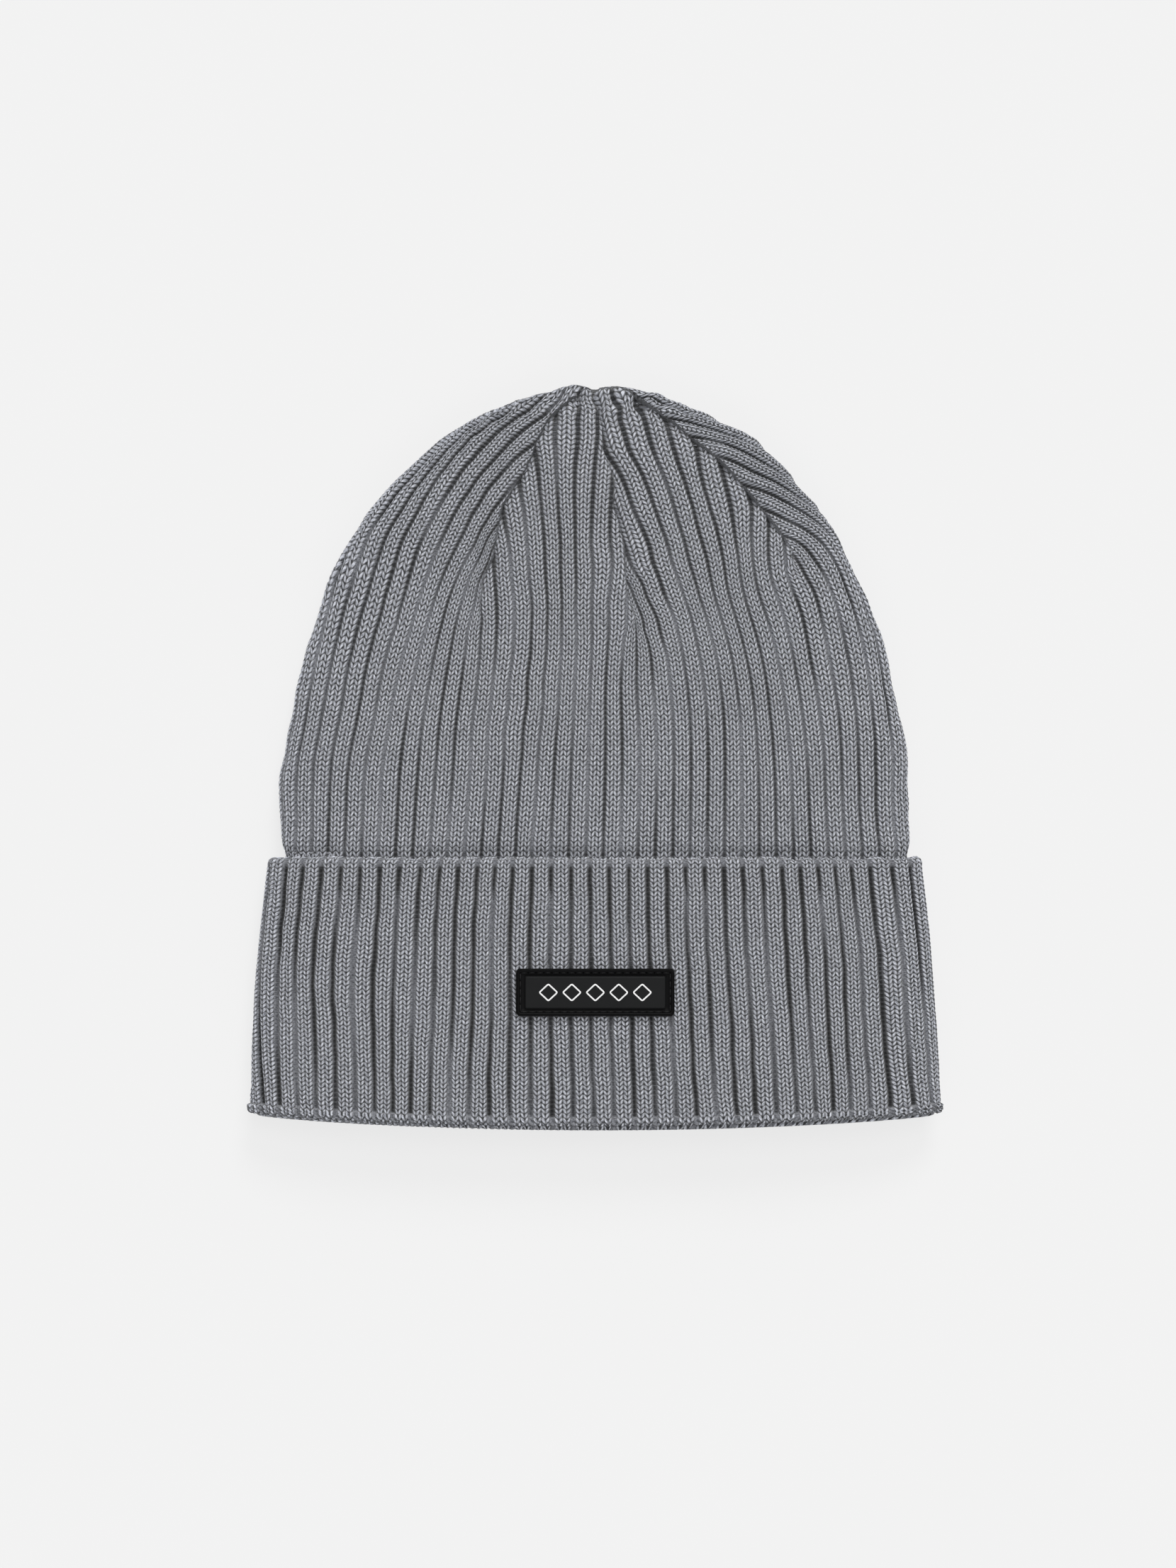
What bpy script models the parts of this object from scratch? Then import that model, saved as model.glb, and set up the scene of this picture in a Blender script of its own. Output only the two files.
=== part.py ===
"""A knit beanie with a turned-up cuff, lying flat on its back.

Units are metres, +Z is up, +Y points from the cuff to the crown and the opening faces -Y.
The origin is under the middle of the whole hat, on the surface it lies on.
"""
import math

import bmesh
import bpy
import numpy as np

MM = 0.001

# Whole hat. Heights along the hat are measured from the lowest point of the cuff.
HAT_LENGTH = 235.3 * MM
KNIT_THICKNESS = 3.3 * MM
GAP = 0.4 * MM
SECTION_POINTS = 96
SIDE_SHARPNESS = 5.0
FLOOR_PRESS = 1.15

# Turned-up cuff.
CUFF_HEIGHT = 85.4 * MM
CUFF_HALF_WIDTH_BOTTOM = 110.0 * MM
CUFF_HALF_WIDTH_TOP = 104.0 * MM
CUFF_TOTAL_DEPTH = 24.6 * MM
CUFF_BOW = 4.3 * MM
FOLD_HEIGHT = 3.3 * MM
CAST_ON_EDGE_HEIGHT = 2.5 * MM

# Inner band, the same knitting where it runs up inside the cuff.
BAND_HALF_WIDTH = 100.2 * MM
BAND_TOP = 86.7 * MM

# Crown, from the cuff up to the gathered top.
CROWN_START = 87.0 * MM
CROWN_HALF_WIDTH = 100.8 * MM
CROWN_DEPTH = 20.6 * MM
CROWN_SIDE_POWER = 2.25
CROWN_TOP_POWER = 2.08
CROWN_DEPTH_POWER = 4.0
CROWN_TIP_CENTRE = 8.0 * MM
CROWN_DROP_LENGTH = 16.0 * MM
CROWN_RINGS = 13

# Back seam and the knot that ties off the gathering yarn, both inside.
SEAM_WIDTH = 4.0 * MM
SEAM_DEPTH = 0.8 * MM
SEAM_START = 5.0 * MM
SEAM_LAST_RING = 8
KNOT_SIZE = (7.0 * MM, 4.0 * MM, 2.6 * MM)
KNOT_HEIGHT = 222.0 * MM

# Moulded rubber patch on the front of the cuff.
PATCH_HEIGHT_UP = 43.0 * MM
PATCH_HALF = (25.0 * MM, 7.5 * MM)
PATCH_CORNER = 1.4 * MM
PATCH_CORNER_POINTS = 5
PATCH_BED = 0.8 * MM
PATCH_RIM_TOP = 1.5 * MM
PATCH_RIM_WIDTH = 1.1 * MM
PANEL_HALF = (22.3 * MM, 5.2 * MM)
PANEL_DEPTH = 0.8 * MM
STITCH_THREAD_RADIUS = 0.2 * MM
MOTIF_COUNT = 5
MOTIF_PITCH = 7.4 * MM
MOTIF_HALF = (3.1 * MM, 2.9 * MM)
MOTIF_LINE = 0.45 * MM
MOTIF_DEPTH = 0.3 * MM

# Care label, sewn flat to the back seam inside the band.
LABEL_SIZE = (24.0 * MM, 36.0 * MM, 0.6 * MM)
LABEL_CENTRE_HEIGHT = 62.0 * MM
LABEL_STITCH_SIZE = (22.0 * MM, 0.8 * MM, 0.3 * MM)

CENTRE_Y = HAT_LENGTH / 2
CUFF_MIDDLE_Z = CUFF_TOTAL_DEPTH / 2


def clear_scene():
    for old in list(bpy.data.objects):
        bpy.data.objects.remove(old, do_unlink=True)


def make_material(name, colour, roughness):
    material = bpy.data.materials.new(name)
    material.use_nodes = True
    shader = material.node_tree.nodes["Principled BSDF"]
    shader.inputs["Base Color"].default_value = (*colour, 1.0)
    shader.inputs["Roughness"].default_value = roughness
    shader.inputs["Metallic"].default_value = 0.0
    return material


def finish_object(name, shape, material, smooth=True):
    """Turns a bmesh into a named object with outward faces."""
    bmesh.ops.recalc_face_normals(shape, faces=shape.faces)
    mesh = bpy.data.meshes.new(name)
    shape.to_mesh(mesh)
    shape.free()
    if smooth:
        mesh.shade_smooth()
        mesh.set_sharp_from_angle(angle=math.radians(40))
    mesh.materials.append(material)
    node = bpy.data.objects.new(name, mesh)
    bpy.context.scene.collection.objects.link(node)
    return node


def section(half_width, centre, half_depth, floor):
    """An evenly spaced loop (x, z) round a flattened tube that presses on a floor below it."""
    angle = np.linspace(-math.pi / 2, 1.5 * math.pi, 4001)
    across = half_width * np.sign(np.cos(angle)) * np.abs(np.cos(angle)) ** (2 / SIDE_SHARPNESS)
    rise = np.where(np.sin(angle) < 0, FLOOR_PRESS, 1.0) * half_depth * np.sin(angle)
    height = np.maximum(floor, centre + rise)
    step = np.hypot(np.diff(across), np.diff(height))
    length = np.concatenate([[0.0], np.cumsum(step)])
    wanted = np.arange(SECTION_POINTS) * length[-1] / SECTION_POINTS
    return np.column_stack([np.interp(wanted, length, across), np.interp(wanted, length, height)])


def bowed(points, height_up):
    """Places a section at its height, with the cuff's lower edge curving up towards both sides."""
    share = max(0.0, 1 - height_up / CUFF_HEIGHT)
    lift = CUFF_BOW * (points[:, 0] / CUFF_HALF_WIDTH_BOTTOM) ** 2 * share
    along = height_up + lift - CENTRE_Y
    return np.column_stack([points[:, 0], along, points[:, 1]])


def loft(name, loops, material, closed_ring=False, poles=()):
    """Skins loops of equal count. closed_ring joins the last loop to the first; poles are (loop, point)."""
    shape = bmesh.new()
    rows = [[shape.verts.new(tuple(p)) for p in loop] for loop in loops]
    pairs = list(zip(rows[:-1], rows[1:]))
    skipped = [pole[0] for pole in poles]
    if closed_ring:
        pairs.append((rows[-1], rows[0]))
    for index, (low, high) in enumerate(pairs):
        if index in skipped:
            continue
        count = len(low)
        for i in range(count):
            j = (i + 1) % count
            shape.faces.new((low[i], low[j], high[j], high[i]))
    for index, tips in poles:
        for row, tip in zip((rows[index], rows[index + 1]), tips):
            apex = shape.verts.new(tip)
            count = len(row)
            for i in range(count):
                shape.faces.new((row[i], row[(i + 1) % count], apex))
    return finish_object(name, shape, material)


def rounded_rectangle(half_x, half_y, corner):
    """A loop (x, y) round a rectangle with round corners."""
    points = []
    for turn in range(4):
        side_x = 1 if turn in (0, 3) else -1
        side_y = 1 if turn in (0, 1) else -1
        for step in range(PATCH_CORNER_POINTS):
            angle = math.radians(90 * turn + 90 * step / (PATCH_CORNER_POINTS - 1))
            x = side_x * (half_x - corner) + corner * math.cos(angle)
            y = side_y * (half_y - corner) + corner * math.sin(angle)
            points.append((x, y))
    return points


def patch_loop(half_x, half_y, corner, z):
    y_centre = PATCH_HEIGHT_UP - CENTRE_Y
    return [(x, y + y_centre, z) for x, y in rounded_rectangle(half_x, half_y, corner)]


def flat_solid(name, rows, material):
    """A solid from stacked loops, closed by a face at the bottom and one at the top."""
    shape = bmesh.new()
    verts = [[shape.verts.new(p) for p in row] for row in rows]
    for low, high in zip(verts[:-1], verts[1:]):
        for i in range(len(low)):
            j = (i + 1) % len(low)
            shape.faces.new((low[i], low[j], high[j], high[i]))
    shape.faces.new(verts[0])
    shape.faces.new(verts[-1])
    return finish_object(name, shape, material)


def block(name, size, centre, material):
    shape = bmesh.new()
    bmesh.ops.create_cube(shape, size=1.0)
    bmesh.ops.scale(shape, verts=shape.verts, vec=size)
    bmesh.ops.translate(shape, verts=shape.verts, vec=centre)
    return finish_object(name, shape, material, smooth=False)


# The crown's outer and inner skins are the same curve, inset by the knitting's thickness.
def crown_floor(height_up):
    """Where the crown's back lies: on the inner band's level at the cuff, on the surface beyond it."""
    share = min(1.0, max(0.0, (height_up - CROWN_START) / CROWN_DROP_LENGTH))
    level = KNIT_THICKNESS + GAP
    return level * (1 - share * share * (3 - 2 * share))


def crown_section(share_up, inset):
    """One section of the crown. share_up runs from 0 at the cuff to just under 1 at the tip."""
    length = HAT_LENGTH - CROWN_START - inset
    height_up = CROWN_START + share_up * length
    width_share = (1 - share_up ** CROWN_SIDE_POWER) ** (1 / CROWN_TOP_POWER)
    depth_share = (1 - share_up ** CROWN_DEPTH_POWER) ** 0.5
    blend = min(1.0, share_up * length / CROWN_DROP_LENGTH)
    half_start = CUFF_TOTAL_DEPTH / 2 - KNIT_THICKNESS - GAP
    half_depth = (half_start + (CROWN_DEPTH / 2 - half_start) * blend - inset) * depth_share
    centre_start = CUFF_MIDDLE_Z + (CROWN_DEPTH / 2 - CUFF_MIDDLE_Z) * blend
    centre = centre_start + (CROWN_TIP_CENTRE - CROWN_DEPTH / 2) * share_up ** 3
    floor = crown_floor(height_up) + inset
    return height_up, (CROWN_HALF_WIDTH - inset) * width_share, centre, half_depth, floor


def crown_loop(share_up, inset):
    height_up, half_width, centre, half_depth, floor = crown_section(share_up, inset)
    return bowed(section(half_width, centre, half_depth, floor), height_up)


def crown_shares():
    return [math.sin(math.radians(86 * i / (CROWN_RINGS - 1))) for i in range(CROWN_RINGS)]


def make_crown(material):
    shares = crown_shares()
    outer = [crown_loop(share, 0.0) for share in shares]
    inner = [crown_loop(share, KNIT_THICKNESS) for share in reversed(shares)]
    tip_z = CROWN_TIP_CENTRE
    outer_tip = (0.0, HAT_LENGTH - CENTRE_Y, tip_z)
    inner_tip = (0.0, HAT_LENGTH - KNIT_THICKNESS - CENTRE_Y, tip_z)
    poles = [(CROWN_RINGS - 1, (outer_tip, inner_tip))]
    return loft("crown", outer + inner, material, closed_ring=True, poles=poles)


def make_tube(name, outer, inner, heights, material):
    """A knitted ring: outer and inner each give half width, half depth and floor at a height."""
    loops = []
    for height_up in heights:
        half_width, half_depth, floor = outer(height_up)
        loops.append(bowed(section(half_width, CUFF_MIDDLE_Z, half_depth, floor), height_up))
    for height_up in reversed(heights):
        half_width, half_depth, floor = inner(height_up)
        loops.append(bowed(section(half_width, CUFF_MIDDLE_Z, half_depth, floor), height_up))
    return loft(name, loops, material, closed_ring=True)


def cuff_outer(height_up):
    share = height_up / CUFF_HEIGHT
    half_width = CUFF_HALF_WIDTH_BOTTOM + (CUFF_HALF_WIDTH_TOP - CUFF_HALF_WIDTH_BOTTOM) * share
    return half_width, CUFF_TOTAL_DEPTH / 2, 0.0


def inset_by(profile, inset):
    def inner(height_up):
        half_width, half_depth, floor = profile(height_up)
        return half_width - inset, half_depth - inset, floor + inset
    return inner


def band_outer(height_up):
    inset = KNIT_THICKNESS + GAP
    return BAND_HALF_WIDTH, CUFF_TOTAL_DEPTH / 2 - inset, inset


def make_cuff(material):
    heights = [FOLD_HEIGHT + GAP, 0.5 * CUFF_HEIGHT, CUFF_HEIGHT - CAST_ON_EDGE_HEIGHT - GAP]
    return make_tube("cuff", cuff_outer, inset_by(cuff_outer, KNIT_THICKNESS), heights, material)


def make_cast_on_edge(material):
    """The soft tubular edge that ends the cuff, a little fuller than the ribs below it."""
    heights = [CUFF_HEIGHT - CAST_ON_EDGE_HEIGHT, CUFF_HEIGHT - 0.8 * MM, CUFF_HEIGHT]
    rounding = dict(zip(heights, (0.0, 0.1 * MM, 0.9 * MM)))

    def outer(height_up):
        half_width, half_depth, floor = cuff_outer(height_up)
        inset = rounding[height_up]
        return half_width - inset, half_depth - inset, floor + inset + 0.1 * MM

    def inner(height_up):
        half_width, half_depth, floor = cuff_outer(height_up)
        inset = KNIT_THICKNESS - 0.4 * rounding[height_up]
        return half_width - inset, half_depth - inset, floor + inset
    return make_tube("cast_on_edge", outer, inner, heights, material)


def make_inner_band(material):
    heights = [FOLD_HEIGHT + GAP, 0.5 * CUFF_HEIGHT, BAND_TOP]
    return make_tube("inner_band", band_outer, inset_by(band_outer, KNIT_THICKNESS), heights, material)


def make_cuff_fold(material):
    """The bottom turn, where the inner band becomes the cuff: a U-shaped ring open at the top."""
    outer_width, outer_half, outer_floor = cuff_outer(FOLD_HEIGHT)
    inner_width, inner_half, inner_floor = inset_by(band_outer, KNIT_THICKNESS)(FOLD_HEIGHT)
    loops = []
    for turn in (0, 45, 90, 135, 180):
        across = (1 - math.cos(math.radians(turn))) / 2
        height_up = FOLD_HEIGHT * (1 - math.sin(math.radians(turn)))
        half_width = outer_width + (inner_width - outer_width) * across
        half_depth = outer_half + (inner_half - outer_half) * across
        floor = outer_floor + (inner_floor - outer_floor) * across
        loops.append(bowed(section(half_width, CUFF_MIDDLE_Z, half_depth, floor), height_up))
    return loft("cuff_fold", loops, material, closed_ring=True)


def crown_inner_floor(share_up):
    """A height up the crown, and the level of its back's inner face there on the centre line."""
    height_up, _, centre, half_depth, floor = crown_section(share_up, KNIT_THICKNESS)
    return height_up, max(floor, centre - FLOOR_PRESS * half_depth)


def make_back_seam(material):
    """The flat linked seam that closes the knitted panel into a tube, on the inside of the back."""
    stations = [(SEAM_START, 2 * KNIT_THICKNESS + GAP)]
    stations += [crown_inner_floor(share) for share in crown_shares()[:SEAM_LAST_RING]]
    rows = []
    for height_up, level in stations:
        low = level + 1.5 * GAP
        high = low + SEAM_DEPTH
        y = height_up - CENTRE_Y
        half = SEAM_WIDTH / 2
        rows.append([(-half, y, low), (half, y, low), (half * 0.7, y, high), (-half * 0.7, y, high)])
    return flat_solid("back_seam", rows, material)


def make_gather_knot(material):
    """The knot of the yarn that draws the last course of the crown together."""
    shape = bmesh.new()
    bmesh.ops.create_uvsphere(shape, u_segments=16, v_segments=8, radius=0.5)
    bmesh.ops.scale(shape, verts=shape.verts, vec=KNOT_SIZE)
    centre = (0.0, KNOT_HEIGHT - CENTRE_Y, CROWN_TIP_CENTRE)
    bmesh.ops.translate(shape, verts=shape.verts, vec=centre)
    return finish_object("gather_knot", shape, material)


def make_patch_base(material):
    """One moulding: a thin bed with a raised rim, which leaves a sewing channel round the panel."""
    half_x, half_y = PATCH_HALF
    z = CUFF_TOTAL_DEPTH + GAP
    edge = 0.2 * MM
    inner = PATCH_RIM_WIDTH
    rows = [
        patch_loop(half_x - edge, half_y - edge, PATCH_CORNER, z),
        patch_loop(half_x, half_y, PATCH_CORNER, z + edge),
        patch_loop(half_x, half_y, PATCH_CORNER, z + PATCH_RIM_TOP - edge),
        patch_loop(half_x - edge, half_y - edge, PATCH_CORNER, z + PATCH_RIM_TOP),
        patch_loop(half_x - inner + edge, half_y - inner + edge, PATCH_CORNER / 2, z + PATCH_RIM_TOP),
        patch_loop(half_x - inner, half_y - inner, PATCH_CORNER / 2, z + PATCH_BED),
    ]
    return flat_solid("patch_base", rows, material)


def make_patch_panel(material):
    half_x, half_y = PANEL_HALF
    z = CUFF_TOTAL_DEPTH + GAP + PATCH_BED + GAP
    bevel = 0.3 * MM
    rows = [
        patch_loop(half_x, half_y, 0.5 * MM, z),
        patch_loop(half_x, half_y, 0.5 * MM, z + PANEL_DEPTH - bevel),
        patch_loop(half_x - bevel, half_y - bevel, 0.5 * MM, z + PANEL_DEPTH),
    ]
    return flat_solid("patch_panel", rows, material)


def make_patch_stitching(material):
    """The row of stitches in the channel between rim and panel."""
    half_x = (PATCH_HALF[0] - PATCH_RIM_WIDTH + PANEL_HALF[0]) / 2
    half_y = (PATCH_HALF[1] - PATCH_RIM_WIDTH + PANEL_HALF[1]) / 2
    z = CUFF_TOTAL_DEPTH + GAP + PATCH_BED + GAP + STITCH_THREAD_RADIUS
    loops = []
    for turn in range(6):
        angle = math.radians(60 * turn)
        grow = STITCH_THREAD_RADIUS * math.cos(angle)
        lift = STITCH_THREAD_RADIUS * math.sin(angle)
        loops.append(patch_loop(half_x + grow, half_y + grow, 0.9 * MM + grow, z + lift))
    return loft("patch_stitching", loops, material, closed_ring=True)


def make_patch_motif(index, material):
    """One raised lozenge outline of the row that decorates the panel."""
    x_centre = (index - (MOTIF_COUNT - 1) / 2) * MOTIF_PITCH
    y_centre = PATCH_HEIGHT_UP - CENTRE_Y
    z = CUFF_TOTAL_DEPTH + GAP + PATCH_BED + GAP + PANEL_DEPTH + 0.5 * GAP
    inner = (MOTIF_HALF[0] - 1.5 * MOTIF_LINE, MOTIF_HALF[1] - 1.5 * MOTIF_LINE)
    loops = []
    for half, level in ((MOTIF_HALF, z), (MOTIF_HALF, z + MOTIF_DEPTH), (inner, z + MOTIF_DEPTH), (inner, z)):
        corners = ((half[0], 0), (0, half[1]), (-half[0], 0), (0, -half[1]))
        loops.append([(x_centre + x, y_centre + y, level) for x, y in corners])
    return loft(f"patch_motif_{index + 1}", loops, material, closed_ring=True)


def make_care_label(material):
    label_z = 2 * KNIT_THICKNESS + GAP + 1.5 * GAP + SEAM_DEPTH + GAP + LABEL_SIZE[2] / 2
    centre = (0.0, LABEL_CENTRE_HEIGHT - CENTRE_Y, label_z)
    return block("care_label", LABEL_SIZE, centre, material)


def make_label_stitching(material):
    """The short row that holds the label's top edge to the seam."""
    label_top = 2 * KNIT_THICKNESS + GAP + 1.5 * GAP + SEAM_DEPTH + GAP + LABEL_SIZE[2]
    height_up = LABEL_CENTRE_HEIGHT + LABEL_SIZE[1] / 2 - 2.0 * MM
    centre = (0.0, height_up - CENTRE_Y, label_top + 0.5 * GAP + LABEL_STITCH_SIZE[2] / 2)
    return block("label_stitching", LABEL_STITCH_SIZE, centre, material)


clear_scene()

make_crown(make_material("grey_rib_knit_crown", (0.205, 0.212, 0.232), 0.92))
make_inner_band(make_material("grey_rib_knit_band", (0.190, 0.196, 0.214), 0.92))
make_cuff(make_material("grey_rib_knit_cuff", (0.180, 0.186, 0.202), 0.92))
make_cuff_fold(make_material("grey_rib_knit_fold", (0.165, 0.170, 0.186), 0.92))
make_cast_on_edge(make_material("grey_rib_knit_edge", (0.190, 0.196, 0.214), 0.92))
make_back_seam(make_material("grey_linking_yarn", (0.160, 0.165, 0.180), 0.90))
make_gather_knot(make_material("grey_gathering_yarn", (0.160, 0.165, 0.180), 0.90))
make_patch_base(make_material("black_rubber_base", (0.006, 0.006, 0.007), 0.55))
make_patch_panel(make_material("black_rubber_panel", (0.010, 0.011, 0.012), 0.40))
make_patch_stitching(make_material("black_thread", (0.008, 0.008, 0.009), 0.80))
motif_material = make_material("white_rubber_line", (0.85, 0.85, 0.84), 0.45)
for motif in range(MOTIF_COUNT):
    make_patch_motif(motif, motif_material)
make_care_label(make_material("white_satin_label", (0.75, 0.75, 0.73), 0.35))
make_label_stitching(make_material("grey_label_thread", (0.40, 0.41, 0.43), 0.80))
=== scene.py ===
import math

import bmesh
import bpy
import numpy as np
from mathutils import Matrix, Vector


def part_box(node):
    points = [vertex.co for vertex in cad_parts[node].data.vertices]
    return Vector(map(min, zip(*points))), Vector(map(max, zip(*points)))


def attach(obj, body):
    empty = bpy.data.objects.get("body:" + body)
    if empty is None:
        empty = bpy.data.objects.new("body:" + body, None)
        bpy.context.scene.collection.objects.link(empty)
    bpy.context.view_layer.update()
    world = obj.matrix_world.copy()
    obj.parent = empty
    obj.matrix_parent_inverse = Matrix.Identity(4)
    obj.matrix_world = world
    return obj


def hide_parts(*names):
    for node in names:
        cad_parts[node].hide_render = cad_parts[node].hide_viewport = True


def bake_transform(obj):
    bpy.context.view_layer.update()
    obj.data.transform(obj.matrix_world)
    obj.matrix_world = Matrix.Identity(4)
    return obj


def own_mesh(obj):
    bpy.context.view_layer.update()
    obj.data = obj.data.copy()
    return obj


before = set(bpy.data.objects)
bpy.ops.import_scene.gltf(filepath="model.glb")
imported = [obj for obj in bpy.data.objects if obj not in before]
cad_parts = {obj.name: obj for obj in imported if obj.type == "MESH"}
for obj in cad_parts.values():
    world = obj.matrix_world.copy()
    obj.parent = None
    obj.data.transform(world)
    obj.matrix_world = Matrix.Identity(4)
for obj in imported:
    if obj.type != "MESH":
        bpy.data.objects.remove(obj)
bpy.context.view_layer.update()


# The view and the table. The hat lies on its back on a plain pale table, seen from straight above.
# Daylight comes evenly from all round, and three broad soft lamps give the ribs their light side:
# one overhead, one from beyond the crown and a weak one from the near side.
# The pieces are worked out in millimetres, and MM turns them to metres.
MM = 0.001
HAT_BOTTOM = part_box("cuff_fold")[0].y
HAT_TOP_MM = (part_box("crown")[1].y - HAT_BOTTOM) / MM
CAMERA_HEIGHT = 1.512
CAMERA_LENS = 108.2
CAMERA_AIM_MM = (-2.3, 108.7)
TABLE_SIDE = 3.0
TABLE_COLOUR = "#686868"
TABLE_MOTTLE = "#6A6A6A"
TABLE_GLOW = 0.742
DAYLIGHT_STRENGTH = 0.33
# Each lamp: strength, softness and tilt towards the crown and towards the right, in degrees.
LAMPS = {
    "high_lamp": (1.05, 30, 14, 5),
    "crown_lamp": (1.4, 22, 46, 12),
    "near_lamp": (0.45, 40, -50, 0)}


def colour(hex_code):
    """An sRGB hex colour as the linear values that a shader takes."""
    parts = [int(hex_code[i:i + 2], 16) / 255 for i in (1, 3, 5)]
    linear = [p / 12.92 if p <= 0.04045 else ((p + 0.055) / 1.055) ** 2.4 for p in parts]
    return (*linear, 1.0)


def add_node(tree, kind, settings=None, links=None):
    """Adds one shader node. links gives each input a value, or the socket that feeds it."""
    node = tree.nodes.new(kind)
    for key, value in (settings or {}).items():
        setattr(node, key, value)
    for key, value in (links or {}).items():
        if isinstance(value, bpy.types.NodeSocket):
            tree.links.new(value, node.inputs[key])
        else:
            node.inputs[key].default_value = value
    return node


def new_finish(name, **values):
    """A material with its Principled shader, its node tree and the shader's plain values."""
    material = bpy.data.materials.new(name)
    material.use_nodes = True
    shader = material.node_tree.nodes["Principled BSDF"]
    for key, value in values.items():
        shader.inputs[key.replace("_", " ")].default_value = value
    return material, material.node_tree, shader


view = bpy.data.cameras.new("view")
view.sensor_width = 36.0
view.lens = CAMERA_LENS
view.clip_start = 0.05
view.clip_end = 20.0
view_stand = bpy.data.objects.new("view", view)
view_stand.location = (CAMERA_AIM_MM[0] * MM, HAT_BOTTOM + CAMERA_AIM_MM[1] * MM, CAMERA_HEIGHT)
bpy.context.scene.collection.objects.link(view_stand)
bpy.context.scene.camera = view_stand
bpy.context.scene.view_settings.view_transform = "Standard"

daylight = bpy.data.worlds.new("daylight")
daylight.use_nodes = True
daylight.node_tree.nodes["Background"].inputs["Color"].default_value = (1.0, 1.0, 1.0, 1.0)
daylight.node_tree.nodes["Background"].inputs["Strength"].default_value = DAYLIGHT_STRENGTH
bpy.context.scene.world = daylight

for lamp_name, (strength, softness, tilt_up, tilt_right) in LAMPS.items():
    lamp = bpy.data.lights.new(lamp_name, "SUN")
    lamp.energy = strength
    lamp.angle = math.radians(softness)
    lamp_stand = bpy.data.objects.new(lamp_name, lamp)
    lamp_stand.rotation_euler = (-math.radians(tilt_up), math.radians(tilt_right), 0)
    bpy.context.scene.collection.objects.link(lamp_stand)

# Lit opal acrylic: a clean pale sheet that glows a little from within, so shadows on it stay faint.
table_finish, table_nodes, table_shader = new_finish(
    "lit_opal_acrylic", Roughness=0.9, Specular_IOR_Level=0.0, Emission_Strength=TABLE_GLOW,
    Emission_Color=(1.0, 1.0, 1.0, 1.0))
mottle = add_node(table_nodes, "ShaderNodeTexNoise", links={"Scale": 40.0, "Detail": 2.0})
table_tint = add_node(
    table_nodes, "ShaderNodeMix", {"data_type": "RGBA"},
    {0: mottle.outputs["Fac"], 6: colour(TABLE_COLOUR), 7: colour(TABLE_MOTTLE)})
table_nodes.links.new(table_tint.outputs[2], table_shader.inputs["Base Color"])
table_mesh = bpy.data.meshes.new("table")
half = TABLE_SIDE / 2
table_corners = [(-half, -half, 0), (half, -half, 0), (half, half, 0), (-half, half, 0)]
table_mesh.from_pydata(table_corners, [], [(0, 1, 2, 3)])
table_mesh.materials.append(table_finish)
table = bpy.data.objects.new("table", table_mesh)
bpy.context.scene.collection.objects.link(table)


# The yarn. A marled acrylic and wool yarn, plied from a light and a dark grey, soft and a little
# fuzzy. The hat is knitted from it in one piece, two plain wales and one sunk wale by turns, which
# gives the ribs. Everything here is in millimetres, and up means along the hat from the cuff.
GREY_LIGHT = "#F2F5FE"
GREY_MID = "#C6C9D2"
GREY_DARK = "#747781"
KNIT_THICKNESS = 3.3
SIDE_SHARPNESS = 5.0
FLOOR_PRESS = 1.15
# A stitch's legs lean by this share of a row, and shift up or down by up to this much by chance.
STITCH_LEAN = 0.78
STITCH_SHIFT = 0.07
# Half the groove's flat floor, as a share of the sunk wale's width, and how round the ribs' shoulders are.
FLOOR_SHARE = 0.32
SHOULDER_POWER = 0.7
# How far the face dips in the middle of a rib, between its two wales, and in the middle of a
# wale, where its two legs meet. Then how high the sunk wale's bars stand.
RIB_MIDDLE_DIP = 0.38
WALE_MIDDLE_DIP = 0.16
BAR_HEIGHT = 0.25
# The fibres' size along and across a strand, and the size of the yarn's light and dark patches.
FIBRE_LENGTH = 1.1
FIBRE_WIDTH = 0.24
MARL_SIZE = 0.75
# The painted shade in the hollows between the strands, and the painted light on the floor of a soft valley.
PAINTED_HOLLOW_SHADE = 0.06
PAINTED_VALLEY_LIGHT = 0.34
# How far the strands and their fibres stand out in the yarn's own bump.
STRAND_BUMP = 0.6
RING_STEPS = 800
JITTER_TABLE = 512

yarn_chance = np.random.default_rng(20)
stitch_jitter = yarn_chance.uniform(-1, 1, (JITTER_TABLE, JITTER_TABLE))


def ease(low, high, value):
    """0 up to low, 1 from high, and a smooth rise between them."""
    share = np.clip((value - low) / (high - low), 0, 1)
    return share * share * (3 - 2 * share)


def wobble(x, y, wavelength, seed):
    """Soft unevenness between about -1 and 1, with hollows and swells of that size in millimetres."""
    chance = np.random.default_rng(seed)
    total = np.zeros(np.broadcast(x, y).shape)
    for _ in range(7):
        heading = chance.uniform(0, 2 * math.pi)
        turn = 2 * math.pi / (wavelength * chance.uniform(0.7, 1.5))
        phase = chance.uniform(0, 2 * math.pi)
        total += np.sin(turn * (x * math.cos(heading) + y * math.sin(heading)) + phase)
    return total / 3.2


def half_ring(half_width, centre, half_depth, floor):
    """x, z and length round half of a flattened tube, from its front centre line to its back one."""
    turn = np.linspace(0, 2, 2 * RING_STEPS + 1)
    share = np.abs(np.sin(0.5 * math.pi * turn))
    rise = np.sqrt(np.maximum(0, 1 - share ** SIDE_SHARPNESS))
    front = centre + half_depth * rise
    back = np.maximum(floor, centre - FLOOR_PRESS * half_depth * rise)
    z = np.where(turn <= 1, front, back)
    length = np.concatenate([[0.0], np.cumsum(np.hypot(np.diff(half_width * share), np.diff(z)))])
    return half_width * share, z, length


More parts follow.
